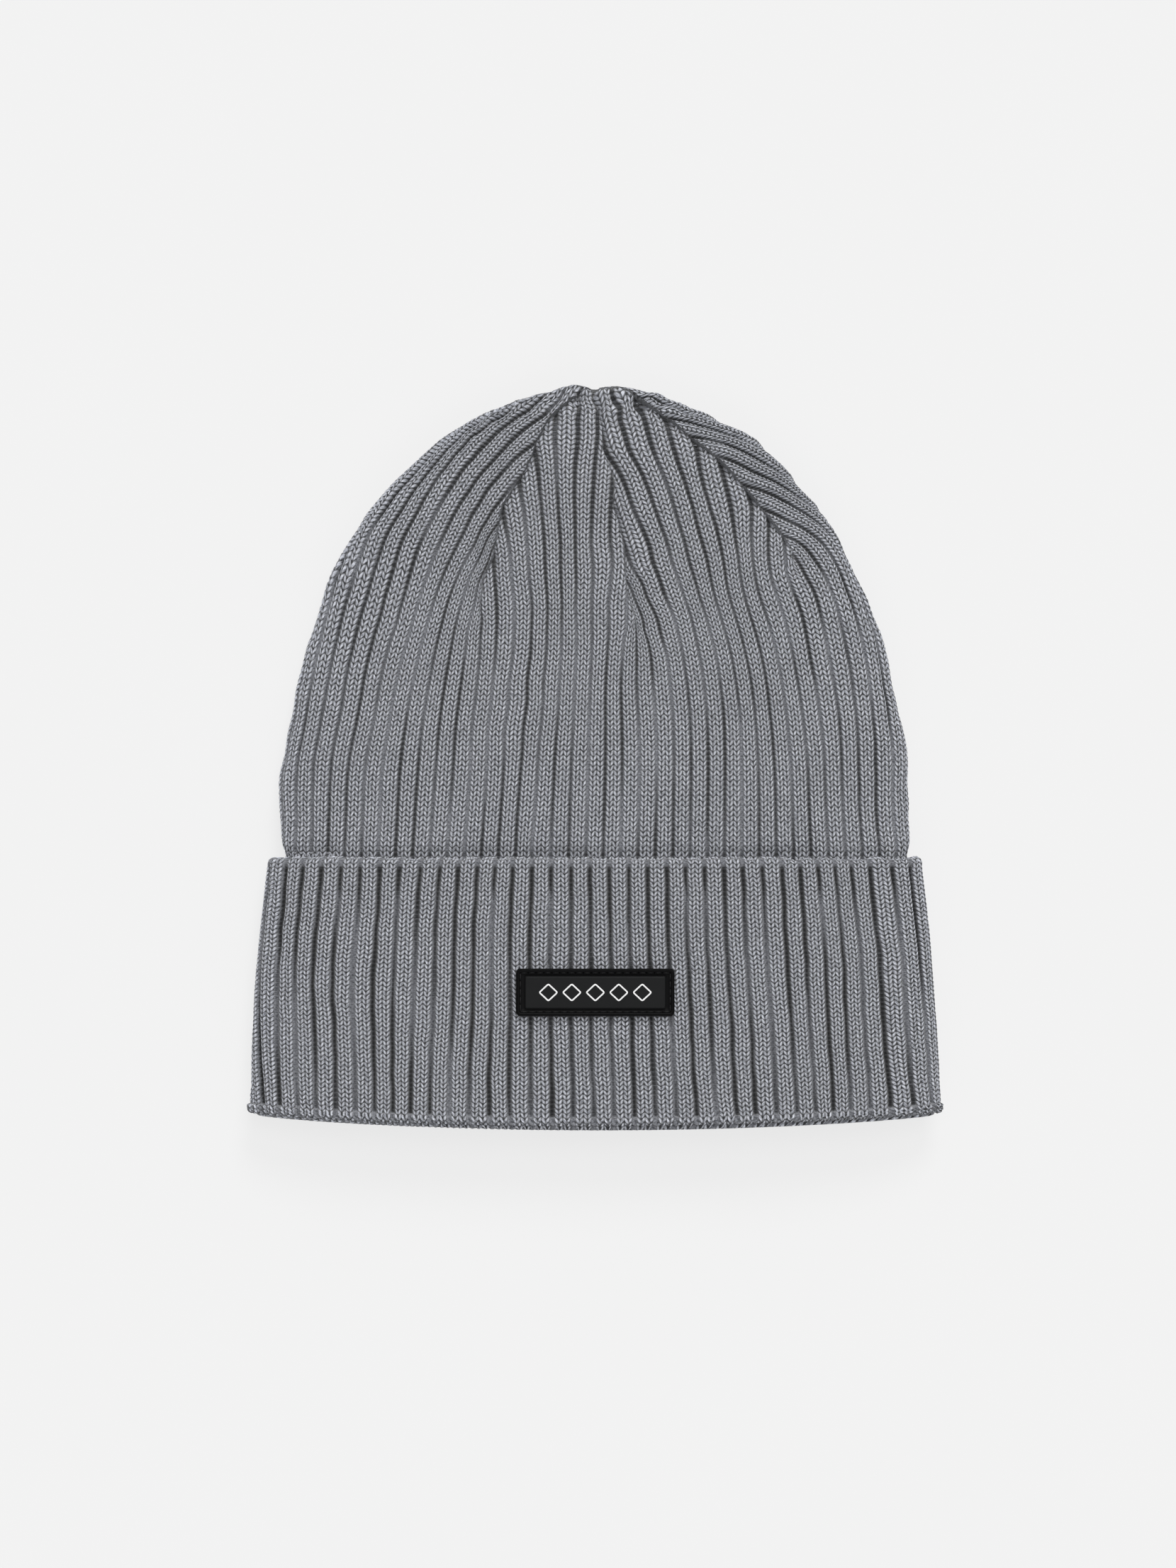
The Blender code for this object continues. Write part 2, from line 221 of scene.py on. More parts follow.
def ring_columns(front_length, back_length, front_step, back_step):
    """Column places round the tube: -2 and 2 are the back centre, -1 and 1 the sides, 0 the front."""
    front = np.linspace(0, 1, round(front_length / front_step) + 1)
    back = 1 + np.linspace(0, 1, round(back_length / back_step) + 1)[1:]
    right = np.concatenate([front, back])
    return np.concatenate([-right[:0:-1], right])


def tube(sections, columns):
    """Lays rows of points round the tube. Gives points (row, column, x y z), each point's length
    round the tube from the front centre line, and each row's length to the side."""
    right = np.abs(columns)
    points = np.zeros((len(sections), len(columns), 3))
    round_length = np.zeros((len(sections), len(columns)))
    side_length = np.zeros(len(sections))
    for row, (height, half_width, centre, half_depth, floor) in enumerate(sections):
        x, z, length = half_ring(half_width, centre, half_depth, floor)
        side = length[RING_STEPS]
        wanted = np.where(right <= 1, right * side, side + (right - 1) * (length[-1] - side))
        points[row, :, 0] = np.interp(wanted, length, x) * np.sign(columns)
        points[row, :, 1] = height
        points[row, :, 2] = np.interp(wanted, length, z)
        round_length[row] = wanted * np.sign(columns)
        side_length[row] = side
    return points, round_length, side_length


def facing(points):
    """The outward direction at each point of a grid."""
    across = np.gradient(points, axis=1)
    along = np.gradient(points, axis=0)
    normal = np.cross(across, along)
    return normal / np.maximum(np.linalg.norm(normal, axis=2, keepdims=True), 1e-9)


def uneven_grooves(lengths, up, wavelength, seed):
    """How much wider or narrower than usual the grooves are, from place to place."""
    return np.clip(0.3 * wobble(lengths, up, wavelength, seed), -0.35, 0.5)


def ribbed(wale, course, pitch, groove, depth, stitch, seed, flanks=(1.0, 1.0), uneven=0.0):
    """The knitted face's height over its rib tops, in millimetres. wale counts ribs, and course
    counts rows of stitches; both run on over the whole hat. flanks are the widths of a rib's left
    and right slopes, and uneven makes the grooves wider or narrower from place to place."""
    across = wale - np.floor(wale)
    from_groove = np.minimum(across, 1 - across) * pitch
    # The sunk wale lies at the groove's floor, and the ribs stand over it with round shoulders.
    slope = np.where(across < 0.5, *flanks) * (0.95 + 0.1 * groove)
    shoulder = np.clip((from_groove - FLOOR_SHARE * groove * (1 + uneven)) / slope, 0, 1)
    rib = (1 - (1 - shoulder) ** 2) ** SHOULDER_POWER
    on_rib = np.clip((from_groove - groove / 2) / (pitch / 2 - groove / 2), 0, 1)
    leg = np.abs(2 * on_rib - 1)
    twice = np.floor(2 * wale).astype(int) % JITTER_TABLE
    phase = course - STITCH_LEAN * leg
    stitch_row = np.floor(phase).astype(int) % JITTER_TABLE
    jitter = stitch_jitter[twice, (stitch_row + seed) % JITTER_TABLE]
    phase = phase + STITCH_SHIFT * jitter
    turn = phase - np.floor(phase)
    strand = np.sqrt(np.clip(1 - (2 * turn - 1) ** 2 - 0.55 * (2 * leg - 1) ** 2, 0, 1))
    height = -depth * (1 - rib)
    height = height + stitch * (strand - 0.75) * (0.35 + 0.65 * rib) * (1 + 0.25 * jitter)
    height = height - RIB_MIDDLE_DIP * ease(0.55, 1.0, leg) * (on_rib > 0.5)
    height = height - WALE_MIDDLE_DIP * (1 - ease(0.0, 0.4, leg)) * rib
    # Bars of the sunk wale cross the groove between the ribs.
    bar = 0.5 - 0.5 * np.cos(2 * math.pi * course)
    height = height + BAR_HEIGHT * bar * (1 - rib)
    return height, rib


def between(columns, low, high):
    """The columns from one place round the tube to another, both included."""
    return slice(int(np.argmin(np.abs(columns - low))), int(np.argmin(np.abs(columns - high))) + 1)


def knit_sheet(name, points, normals, knit, material):
    """One piece of knitting from a grid of points, with the yarn's own coordinates on it. Where
    it lies on the table it is pressed flat."""
    rows, columns = points.shape[:2]
    mesh = bpy.data.meshes.new(name)
    count = rows * columns
    metres = points.reshape(-1, 3) * MM
    metres[:, 1] += HAT_BOTTOM
    metres[:, 2] = np.maximum(metres[:, 2], 0.0)
    corner = np.arange(count).reshape(rows, columns)
    quads = np.stack(
        [corner[:-1, :-1], corner[:-1, 1:], corner[1:, 1:], corner[1:, :-1]], axis=2).reshape(-1, 4)
    mesh.vertices.add(count)
    mesh.vertices.foreach_set("co", metres.astype(np.float32).ravel())
    mesh.loops.add(quads.size)
    mesh.loops.foreach_set("vertex_index", quads.astype(np.int32).ravel())
    mesh.polygons.add(len(quads))
    mesh.polygons.foreach_set("loop_start", np.arange(0, quads.size, 4, dtype=np.int32))
    mesh.update(calc_edges=True)
    mesh.shade_smooth()
    mesh.normals_split_custom_set_from_vertices(normals.reshape(-1, 3).astype(np.float32))
    yarn = mesh.attributes.new("knit", "FLOAT_VECTOR", "POINT")
    yarn.data.foreach_set("vector", knit.reshape(-1, 3).astype(np.float32).ravel())
    mesh.materials.append(material)
    piece = bpy.data.objects.new(name, mesh)
    bpy.context.scene.collection.objects.link(piece)
    return piece


def yarn_finish(name, pitch, course_height, groove, painted_groove_shade):
    """Marled wool-mix yarn: light and dark fibres twisted together, with no shine but a soft
    bright fuzz at glancing angles. The strands follow the stitches' own two slanting legs."""
    material, tree, shader = new_finish(
        name, Roughness=0.92, Specular_IOR_Level=0.18, Sheen_Weight=0.35, Sheen_Roughness=0.55)
    maths = "ShaderNodeMath"
    place = add_node(tree, "ShaderNodeAttribute", {"attribute_name": "knit"})
    axes = add_node(tree, "ShaderNodeSeparateXYZ", links={0: place.outputs["Vector"]})
    wale, course, relief = axes.outputs
    edge = groove / pitch / 2
    across = add_node(tree, maths, {"operation": "PINGPONG"}, {0: wale, 1: 0.5})
    on_rib = add_node(
        tree, "ShaderNodeMapRange", links={"Value": across.outputs[0], "From Min": edge, "From Max": 0.5})
    fold = add_node(tree, maths, {"operation": "PINGPONG"}, {0: on_rib.outputs[0], 1: 0.5})
    leg = add_node(tree, maths, {"operation": "MULTIPLY_ADD"}, {0: fold.outputs[0], 1: -2.0, 2: 1.0})
    phase = add_node(
        tree, maths, {"operation": "MULTIPLY_ADD"}, {0: leg.outputs[0], 1: -STITCH_LEAN, 2: course})
    # Fibres run along the legs: fine across the strand, long along it.
    fibre_place = add_node(tree, "ShaderNodeCombineXYZ", links={0: wale, 1: phase.outputs[0]})
    stray = add_node(
        tree, "ShaderNodeTexNoise", {"noise_dimensions": "2D"},
        {"Vector": fibre_place.outputs[0], "Scale": 5.0, "Detail": 2.0})
    bent = add_node(
        tree, maths, {"operation": "MULTIPLY_ADD"}, {0: stray.outputs["Fac"], 1: 0.4, 2: phase.outputs[0]})
    turn = add_node(tree, maths, {"operation": "FRACT"}, {0: bent.outputs[0]})
    # Each leg is a plump oval stroke, thin at both its ends, where it meets the next leg and
    # leaves a small hollow, which gets painted shade below.
    from_middle = add_node(
        tree, maths, {"operation": "MULTIPLY_ADD"}, {0: turn.outputs[0], 1: 2.0, 2: -1.0})
    width_part = add_node(
        tree, maths, {"operation": "MULTIPLY"}, {0: from_middle.outputs[0], 1: from_middle.outputs[0]})
    leg_side = add_node(
        tree, maths, {"operation": "MULTIPLY_ADD"}, {0: leg.outputs[0], 1: 2.0, 2: -1.0})
    length_part = add_node(
        tree, maths, {"operation": "MULTIPLY"}, {0: leg_side.outputs[0], 1: leg_side.outputs[0]})
    oval = add_node(
        tree, maths, {"operation": "MULTIPLY_ADD"},
        {0: length_part.outputs[0], 1: 0.8, 2: width_part.outputs[0]})
    stroke = add_node(
        tree, "ShaderNodeMapRange", {"interpolation_type": "SMOOTHSTEP"},
        {"Value": oval.outputs[0], "From Min": 1.12, "From Max": 0.2, "To Min": 0.0, "To Max": 1.0})
    stretch = add_node(
        tree, "ShaderNodeMapping",
        links={"Vector": fibre_place.outputs[0],
               "Scale": (pitch / FIBRE_LENGTH, course_height / FIBRE_WIDTH, 1.0)})
    fibre = add_node(
        tree, "ShaderNodeTexNoise", {"noise_dimensions": "2D"},
        {"Vector": stretch.outputs[0], "Scale": 1.0, "Detail": 3.0, "Roughness": 0.6})
    marl_place = add_node(
        tree, "ShaderNodeMapping",
        links={"Vector": fibre_place.outputs[0],
               "Scale": (pitch / MARL_SIZE, course_height / MARL_SIZE, 1.0)})
    marl = add_node(
        tree, "ShaderNodeTexNoise", {"noise_dimensions": "2D"},
        {"Vector": marl_place.outputs[0], "Scale": 1.0, "Detail": 2.0, "Roughness": 0.7})
    fibre_part = add_node(tree, maths, {"operation": "MULTIPLY"}, {0: fibre.outputs["Fac"], 1: 0.55})
    mixed = add_node(
        tree, maths, {"operation": "MULTIPLY_ADD"},
        {0: marl.outputs["Fac"], 1: 0.45, 2: fibre_part.outputs[0]})
    shade = add_node(tree, "ShaderNodeValToRGB", links={0: mixed.outputs[0]})
    ramp = shade.color_ramp
    ramp.elements[0].position = 0.36
    ramp.elements[0].color = colour(GREY_DARK)
    ramp.elements[1].position = 0.66
    ramp.elements[1].color = colour(GREY_LIGHT)
    middle = ramp.elements.new(0.5)
    middle.color = colour(GREY_MID)
    # Painted shade: the yarn is darkened between the strands, and more so deep in the groove.
    painted_hollow_shade = add_node(
        tree, "ShaderNodeMapRange",
        links={"Value": stroke.outputs[0], "To Min": PAINTED_HOLLOW_SHADE, "To Max": 1.0})
    # Painted groove shade: the lower a rib's value, the darker the yarn.
    deep = add_node(
        tree, "ShaderNodeMapRange", {"interpolation_type": "SMOOTHSTEP"},
        {"Value": relief, "From Min": 0.0, "From Max": 0.6, "To Min": painted_groove_shade, "To Max": 1.0})
    # Painted light: where a groove is only a soft valley, the sunk wale at its floor shows and is
    # lightened.
    floor = add_node(
        tree, "ShaderNodeMapRange", {"interpolation_type": "SMOOTHSTEP"},
        {"Value": on_rib.outputs[0], "From Min": 0.0, "From Max": 0.1, "To Min": 1.0, "To Max": 0.0})
    painted_light_by_relief = add_node(
        tree, "ShaderNodeMapRange",
        links={"Value": relief, "From Min": 0.05, "From Max": 0.6, "To Min": 0.0, "To Max": PAINTED_VALLEY_LIGHT})
    painted_valley_light = add_node(tree, maths, {"operation": "MULTIPLY"}, {0: floor.outputs[0], 1: painted_light_by_relief.outputs[0]})
    painted_hollow_shade_and_valley_light = add_node(tree, maths, {"operation": "MAXIMUM"}, {0: painted_hollow_shade.outputs[0], 1: painted_valley_light.outputs[0]})
    # The painted shade and painted light together, multiplied into the yarn's colour.
    dark = add_node(tree, maths, {"operation": "MULTIPLY"}, {0: painted_hollow_shade_and_valley_light.outputs[0], 1: deep.outputs[0]})
    tint = add_node(
        tree, "ShaderNodeMix", {"data_type": "RGBA", "blend_type": "MULTIPLY"},
        {0: 1.0, 6: shade.outputs[0], 7: dark.outputs[0]})
    tree.links.new(tint.outputs[2], shader.inputs["Base Color"])
    relief_height = add_node(
        tree, maths, {"operation": "MULTIPLY_ADD"},
        {0: fibre.outputs["Fac"], 1: 0.45, 2: stroke.outputs[0]})
    bump = add_node(
        tree, "ShaderNodeBump",
        links={"Height": relief_height.outputs[0], "Strength": 1.0, "Distance": STRAND_BUMP * MM})
    tree.links.new(bump.outputs[0], shader.inputs["Normal"])
    return material


# The crown. One tube of rib knitting, narrowed to the top by lines of decreased stitches: the
# ribs of one side run on along a line while those of the other end under them. A yarn drawn
# through the last row gathers the top. Left, middle, right and back are parts of the same sheet.
BODY_PITCH = 5.45
BODY_COURSE = 1.6
BODY_GROOVE = 0.9
BODY_DEPTH = 1.5
# The cuff's top edge lies against the crown here and presses it in a little; a line of painted shade
# darkens it there too.
CUFF_EDGE_UP = 86.0
PRESSED_IN = 0.9
# No groove goes deeper than this, to keep clear of the lining.
DEEPEST_GROOVE = 2.6
# How high the upper ribs stand at a decrease line, and how far the others go in under them.
LAP_HEIGHT = 1.05
LAP_TUCK = 1.7
# How much of a soft groove's depth is filled.
VALLEY_FILL = 0.7
# How dark the painted shade in the crown's grooves is.
BODY_PAINTED_GROOVE_SHADE = 0.5
BODY_STITCH = 0.42
BODY_FLANKS = (1.8, 1.1)
CROWN_START = 87.0
CROWN_HALF_WIDTH = 100.8
BAND_HALF_WIDTH = 100.2
CROWN_DEPTH = 20.6
CROWN_SIDE_POWER = 2.25
CROWN_TOP_POWER = 2.08
CROWN_DEPTH_POWER = 4.0
CROWN_TIP_CENTRE = 8.0
CROWN_DROP_LENGTH = 16.0
CUFF_DEPTH = 24.6
BAND_INSET = 3.7
CROWN_FRONT_STEP = 0.44
CROWN_BACK_STEP = 0.8

# Where each groove runs: its number, then (across, up) places along it, in millimetres.
# Grooves are numbered from the one right of the front centre line.
LEFT_OF_FIRST_LINE = {
    -18: [(-96, 90), (-95, 115), (-92.5, 130), (-90.3, 145), (-87, 160), (-84, 172), (-80.5, 182)],
    -17: [(-90.6, 90), (-89.7, 115), (-87.2, 130), (-84.8, 145), (-81.5, 160), (-79, 170), (-76, 179),
          (-73, 187), (-67, 197), (-60.5, 206)],
    -16: [(-85.1, 90), (-84, 115), (-81.3, 130), (-79, 145), (-75.5, 160), (-73, 168), (-70.5, 177),
          (-67.5, 186), (-61, 197), (-55.5, 206), (-50, 213), (-45, 218.5), (-38, 224), (-31, 228.5)],
    -15: [(-79.6, 90), (-78.5, 115), (-75.5, 130), (-73, 145), (-69, 160), (-67, 168), (-64.5, 177),
          (-61.7, 186), (-55, 199), (-50, 207.5), (-45, 214.5), (-40, 220.5), (-34, 226), (-27, 230)],
    -14: [(-74.2, 90), (-73, 115), (-70, 130), (-67.5, 145), (-63, 160), (-61, 168), (-58.5, 177),
          (-55.3, 186), (-50, 196), (-45, 204.5), (-39, 212.5), (-34, 218), (-28, 224), (-20, 229.5)],
    -13: [(-68.7, 90), (-67.4, 115), (-65, 131), (-62, 146), (-57.5, 162), (-53, 176), (-49, 186),
          (-44.5, 195), (-39, 203.5), (-33, 211), (-29, 215.5), (-23, 221.5), (-15, 227.5)],
    -12: [(-63.2, 90), (-61.8, 115), (-59.5, 132), (-56.5, 147), (-52, 164), (-48, 176), (-43.5, 185.5),
          (-39.5, 194), (-34.5, 202.5), (-30, 207.5), (-26, 212), (-20, 216.5)],
    -11: [(-57.7, 90), (-56, 115), (-53.7, 135), (-51, 150), (-47, 166), (-43.5, 175), (-38, 185),
          (-34.5, 192), (-30.5, 198), (-27, 202.5), (-22, 208)],
    -10: [(-52.3, 90), (-50.5, 115), (-48.5, 135), (-46, 150), (-42.5, 166), (-38.5, 177),
          (-34.5, 186), (-29, 194)],
    -9: [(-46.8, 90), (-45, 115), (-43.3, 135), (-41, 152), (-38, 167), (-34, 179), (-29, 189)],
    -8: [(-41.3, 90), (-39.5, 115), (-38, 135), (-36.5, 155), (-34, 172), (-30, 183)],
}
BETWEEN_FIRST_AND_SECOND = {
    -7: [(-35.9, 90), (-34.5, 115), (-33, 135), (-31.4, 155), (-31.8, 172), (-32.5, 182)],
    -6: [(-30.7, 90), (-29, 125), (-27.5, 140), (-25.7, 158), (-26.7, 175), (-28, 188), (-29.5, 195)],
    -5: [(-25, 90), (-23, 120), (-21.5, 135), (-20.5, 150), (-20, 165), (-21.5, 183), (-22.5, 195),
         (-23.5, 200)],
    -4: [(-20.3, 90), (-18, 120), (-16.5, 140), (-15.3, 160), (-16, 180), (-17, 195), (-18, 207),
         (-19, 214), (-20, 217)],
    -3: [(-13.9, 90), (-10.5, 165), (-11, 185), (-12, 200), (-12.5, 210), (-13, 220), (-12.5, 226)],
    -2: [(-8.4, 90), (-6.5, 165), (-6.3, 180), (-6.7, 200), (-6.5, 210), (-5.5, 218)],
    -1: [(-2.9, 90), (-1, 165), (-1.5, 185), (-1, 195), (-0.5, 205), (0, 212)],
    0: [(2.5, 90), (4, 165), (5.5, 179)],
    1: [(8, 90), (10, 160)],
}
BETWEEN_SECOND_AND_THIRD = {
    2: [(13.5, 90), (13, 140), (12.5, 158)],
    3: [(19, 90), (19, 130), (18, 145), (15, 157), (11, 172)],
    4: [(24.6, 90), (24.6, 130), (23, 148), (20, 160), (16, 168), (12, 176), (8.8, 185)],
    5: [(30, 90), (30, 130), (28, 147), (25, 161), (20, 175), (17.5, 184), (15, 190), (12, 196),
        (9, 205), (6.5, 210), (3.5, 214)],
    6: [(35.4, 90), (35.3, 130), (33.5, 147), (30, 163), (27, 172), (24, 180), (21, 190), (19, 196),
        (17, 202), (14.5, 208), (11, 214), (9.5, 220), (7.5, 226), (6.5, 230)],
    7: [(40.9, 90), (40.7, 130), (38, 150), (33, 168), (30, 178), (28, 187), (26, 193), (22, 206),
        (20, 211), (18.5, 215), (17, 220), (15.5, 226), (14.5, 229)],
    8: [(46.4, 90), (46, 130), (43, 150), (37.5, 170), (35.5, 180), (33, 188), (31, 197),
        (28.5, 205), (26, 212), (24.5, 217), (23.5, 221)],
    9: [(51.9, 90), (50.7, 130), (47.5, 150), (42, 170), (40.5, 180), (38.5, 190), (36.5, 196),
        (34.5, 203), (33, 210), (32.5, 216)],
    10: [(57.3, 90), (55.5, 130), (52.5, 150), (47, 170), (45.5, 180), (44, 190), (43, 197), (42, 202)],
    11: [(62.8, 90), (60.8, 130), (57.5, 150), (51.5, 170), (49.8, 180), (49.5, 190), (50, 197)],
    12: [(68.3, 90), (65.8, 130), (63, 148), (57, 170), (55.2, 178), (55, 185), (55.5, 192)],
    13: [(73.8, 90), (71.3, 130), (68, 150), (62.5, 170), (60.5, 180), (60, 187)],
}
RIGHT_OF_THIRD_LINE = {
    14: [(79.3, 90), (77.5, 130), (74, 152), (69.5, 170), (66, 176), (62.5, 182)],
    15: [(84.7, 90), (83, 130), (81.5, 145), (79, 157), (76.5, 167), (73, 175), (69, 181), (65, 185),
         (60.5, 187)],
    16: [(90.2, 90), (88.5, 130), (86.3, 150), (82.5, 165), (78, 177), (72.5, 185.5), (66, 190.5),
         (60, 193), (54, 196)],
    17: [(95.7, 90), (94, 130), (91, 150), (87, 166), (82.5, 178), (77, 187), (72, 192), (67, 195.5),
         (62, 198.5), (57, 201), (47, 204)],
    18: [(70.5, 197.5), (62, 203), (55, 206.5), (48, 209.5), (38.5, 213)],
    19: [(61, 207.5), (55, 211), (48, 214.5), (42, 217), (31, 219.5)],
    20: [(50, 217.5), (42, 220.8), (36, 223), (30, 224.5), (24, 225.5)],
    21: [(38, 225.7), (30, 228.3), (23, 230), (16, 231)],
}
FIRST_LINE = [(-36.5, 165), (-35.5, 175), (-32.7, 180), (-31, 190), (-29.5, 197), (-26.5, 202),
              (-22.5, 208), (-20, 213.5), (-18.7, 218), (-15, 225), (-11.5, 228.5), (-8, 231)]
SECOND_LINE = [(12.5, 162), (10, 170), (9.5, 180), (9, 185), (8, 190), (5.8, 197), (6, 205),
               (4.5, 210), (2.5, 215), (2.3, 222), (1.5, 225)]
THIRD_LINE = [(62.5, 182), (60, 187), (54, 195.5), (47, 204), (38.5, 213), (31, 219), (24, 225),
              (17, 229.5)]
LINE_MEETING = 14.0
SQUARED_SHARE = 0.75


def body_section(height):
    """The tube's half width, middle, half depth and floor at a height, inside the cuff and over it."""
    half_start = CUFF_DEPTH / 2 - BAND_INSET
    if height <= CROWN_START:
        width = BAND_HALF_WIDTH + (CROWN_HALF_WIDTH - BAND_HALF_WIDTH) * float(ease(80, 87, height))
        return height, width, CUFF_DEPTH / 2, half_start, BAND_INSET
    share = (height - CROWN_START) / (HAT_TOP_MM - CROWN_START)
    width_share = max(0.0, 1 - share ** CROWN_SIDE_POWER) ** (1 / CROWN_TOP_POWER)
    depth_share = max(0.0, 1 - share ** CROWN_DEPTH_POWER) ** 0.5
    blend = min(1.0, (height - CROWN_START) / CROWN_DROP_LENGTH)
    half_depth = (half_start + (CROWN_DEPTH / 2 - half_start) * blend) * depth_share
    centre_start = CUFF_DEPTH / 2 + (CROWN_DEPTH / 2 - CUFF_DEPTH / 2) * blend
    centre = centre_start + (CROWN_TIP_CENTRE - CROWN_DEPTH / 2) * share ** 3
    floor = BAND_INSET * (1 - float(ease(0, 1, blend)))
    return height, CROWN_HALF_WIDTH * width_share, centre, half_depth, floor


def crown_heights(step):
    """Row heights from the cuff to the top, closer together where the sides turn in."""
    fine = np.linspace(0, 1, 4000) ** 0.5
    width = CROWN_HALF_WIDTH * np.maximum(0, 1 - fine ** CROWN_SIDE_POWER) ** (1 / CROWN_TOP_POWER)
    height = CROWN_START + fine * (HAT_TOP_MM - CROWN_START)
    run = np.concatenate([[0.0], np.cumsum(np.hypot(np.diff(height), 0.5 * np.diff(width)))])
    return np.interp(np.linspace(0, run[-1], round(run[-1] / step) + 1), run, height)


def along_line(line, heights):
    """How far across a decrease line is at each height, carried on straight past its ends."""
    across = np.array([p[0] for p in line], float)
    up = np.array([p[1] for p in line], float)
    inside = np.interp(heights, up, across)
    slope = (across[-1] - across[-2]) / (up[-1] - up[-2])
    return np.where(heights > up[-1], across[-1] + slope * (heights - up[-1]), inside)


def to_length(x, height):
    """The length round the tube from the front centre line to a place across its front."""
    ring_x, _, length = half_ring(*body_section(height)[1:])
    return math.copysign(np.interp(min(abs(x), ring_x[RING_STEPS]), ring_x[:RING_STEPS + 1],
                                   length[:RING_STEPS + 1]), x)


def spread_grooves(grooves, lengths, ups):
    """The wale count and its slopes over a grid, as the smoothest sheet through the groove places.
    It is a thin plate's bend: each place adds its own soft swell to a plane."""
    known = np.array([(to_length(x, y), y, number) for number, x, y in grooves])
    places = known[:, :2] / 100
    apart = np.linalg.norm(places[:, None] - places[None], axis=2)
    swell = apart ** 2 * np.log(apart + 1e-12)
    plane = np.column_stack([np.ones(len(known)), places])
    system = np.block([[swell + 1e-3 * np.eye(len(known)), plane], [plane.T, np.zeros((3, 3))]])
    weights = np.linalg.solve(system, np.concatenate([known[:, 2], np.zeros(3)]))
    count, across, along = (np.zeros(lengths.shape) for _ in range(3))
    for row in range(len(lengths)):
        x = lengths[row][:, None] / 100 - places[:, 0]
        y = ups[row] / 100 - places[:, 1]
        square = x * x + y * y + 1e-12
        log = np.log(square)
        pull = weights[:-3]
        count[row] = (0.5 * square * log) @ pull
        count[row] += weights[-3] + weights[-2] * lengths[row] / 100 + weights[-1] * ups[row] / 100
        across[row] = (x * (log + 1)) @ pull + weights[-2]
        along[row] = (y * (log + 1)) @ pull + weights[-1]
    return count, across / 100, along / 100


def even_out(grid, reach):
    """Each value's mean with its neighbours down the grid, twice over, so that rows of stitches
    stay evenly spaced."""
    for _ in range(2):
        padded = np.concatenate([np.repeat(grid[:1], reach, 0), grid, np.repeat(grid[-1:], reach, 0)])
        total = np.cumsum(np.concatenate([np.zeros((1, grid.shape[1])), padded]), axis=0)
        grid = (total[2 * reach + 1:] - total[:-2 * reach - 1]) / (2 * reach + 1)
    return grid


def count_rows(lean, heights, lengths):
    """The course count over a grid: it grows evenly along every wale, which leans by lean."""
    course = np.zeros(lengths.shape)
    for row in range(1, len(heights)):
        rise = heights[row] - heights[row - 1]
        aside = rise * lean[row] / np.sqrt(1 - lean[row] ** 2)
        course[row] = np.interp(lengths[row] + aside, lengths[row - 1], course[row - 1])
        course[row] += np.hypot(rise, aside) / BODY_COURSE
    return course


def square_up(course, lean, lengths, anchors, heights):
    """Turns the rows of stitches square to the wales where these fan out towards the top."""
    squared = np.zeros(course.shape)
    for row, anchor in enumerate(anchors):
        run, slant = lengths[row], lean[row]
        climb = np.cumsum((slant[1:] + slant[:-1]) / 2 * np.diff(run))
        growth = np.concatenate([[0.0], climb]) / BODY_COURSE
        squared[row] = np.interp(anchor, run, course[row] + growth) - growth
    share = SQUARED_SHARE * ease(130, 185, heights)[:, None]
    return course + (squared - course) * share


def knit_field(heights, lengths):
    """Wale and course counts over the crown: each side of a decrease line has its own ribs."""
    gores = [
        LEFT_OF_FIRST_LINE, BETWEEN_FIRST_AND_SECOND, BETWEEN_SECOND_AND_THIRD, RIGHT_OF_THIRD_LINE]
    lines = [FIRST_LINE, SECOND_LINE, THIRD_LINE]
    starts = [line[0][1] for line in lines]
    edges = [along_line(line, heights) for line in lines]
    edge_length = np.array([[to_length(x, h) for x, h in zip(edge, heights)] for edge in edges])
    # Below a line's start its two sides share their grooves, up to these heights.
    shared_up_to = {(0, 1): 158, (1, 2): 156, (2, 3): 176}
    anchors = [edge_length[0] - 3, (edge_length[0] + edge_length[1]) / 2,
               (edge_length[1] + edge_length[2]) / 2, edge_length[2] + 3]
    fields = []
    for own in range(4):
        places = []
        for other in range(4):
            pairs = [shared_up_to[i, i + 1] for i in range(min(own, other), max(own, other))]
            limit = min(pairs) if pairs else 999
            places += [(number, x, y) for number, route in gores[other].items()
                       for x, y in route if y <= limit]
        count, across, along = spread_grooves(places, lengths, heights)
        lean = even_out(even_out(along / np.hypot(across, along), 15).T, 12).T
        lean = np.clip(lean, -0.92, 0.92)
        course = count_rows(lean, heights, lengths)
        fields.append((count, square_up(course, lean, lengths, anchors[own], heights)))
    wale, course = fields[0]
    up = heights[:, None]
    for edge, start, field in zip(edge_length, starts, fields[1:]):
        width = np.maximum(0.01, LINE_MEETING * (1 - ease(start - LINE_MEETING, start, up)))
        share = ease(-1, 1, (lengths - edge[:, None]) / width)
        wale = wale + (field[0] - wale) * share
        course = course + (field[1] - course) * share
    return wale, course, edge_length, starts


def soft_valleys(height, rib, lengths, up, more=0.0):
    """Some ribs stand close and leave a crisp line between them, and others lie open in a soft
    valley."""
    crisp = np.clip(0.7 + 0.42 * wobble(lengths, up * 0.2, 13, 22), 0.36, 1.0)
    soft = (1 - rib) * (1 - np.minimum(crisp + more, 1.0))
    # A soft valley's rib value is raised too, so its painted groove shade is lighter.
    return height + VALLEY_FILL * BODY_DEPTH * soft, rib + soft


def painted_cuff_edge_shade(up):
    """A line of painted shade along the cuff's top edge: how much of a rib's value is kept there."""
    return 1 - 0.5 * np.exp(-((up - CUFF_EDGE_UP) / 0.8) ** 2)


def body_sag(lengths, up):
    """How far the knitting sinks and swells as it lies, and where the cuff's edge presses it in."""
    sag = 0.75 * wobble(lengths, up, 46, 5) + 0.25 * wobble(lengths, up, 15, 6) - 0.5
    return sag - PRESSED_IN * np.exp(-((up - CUFF_EDGE_UP) / 2.2) ** 2)


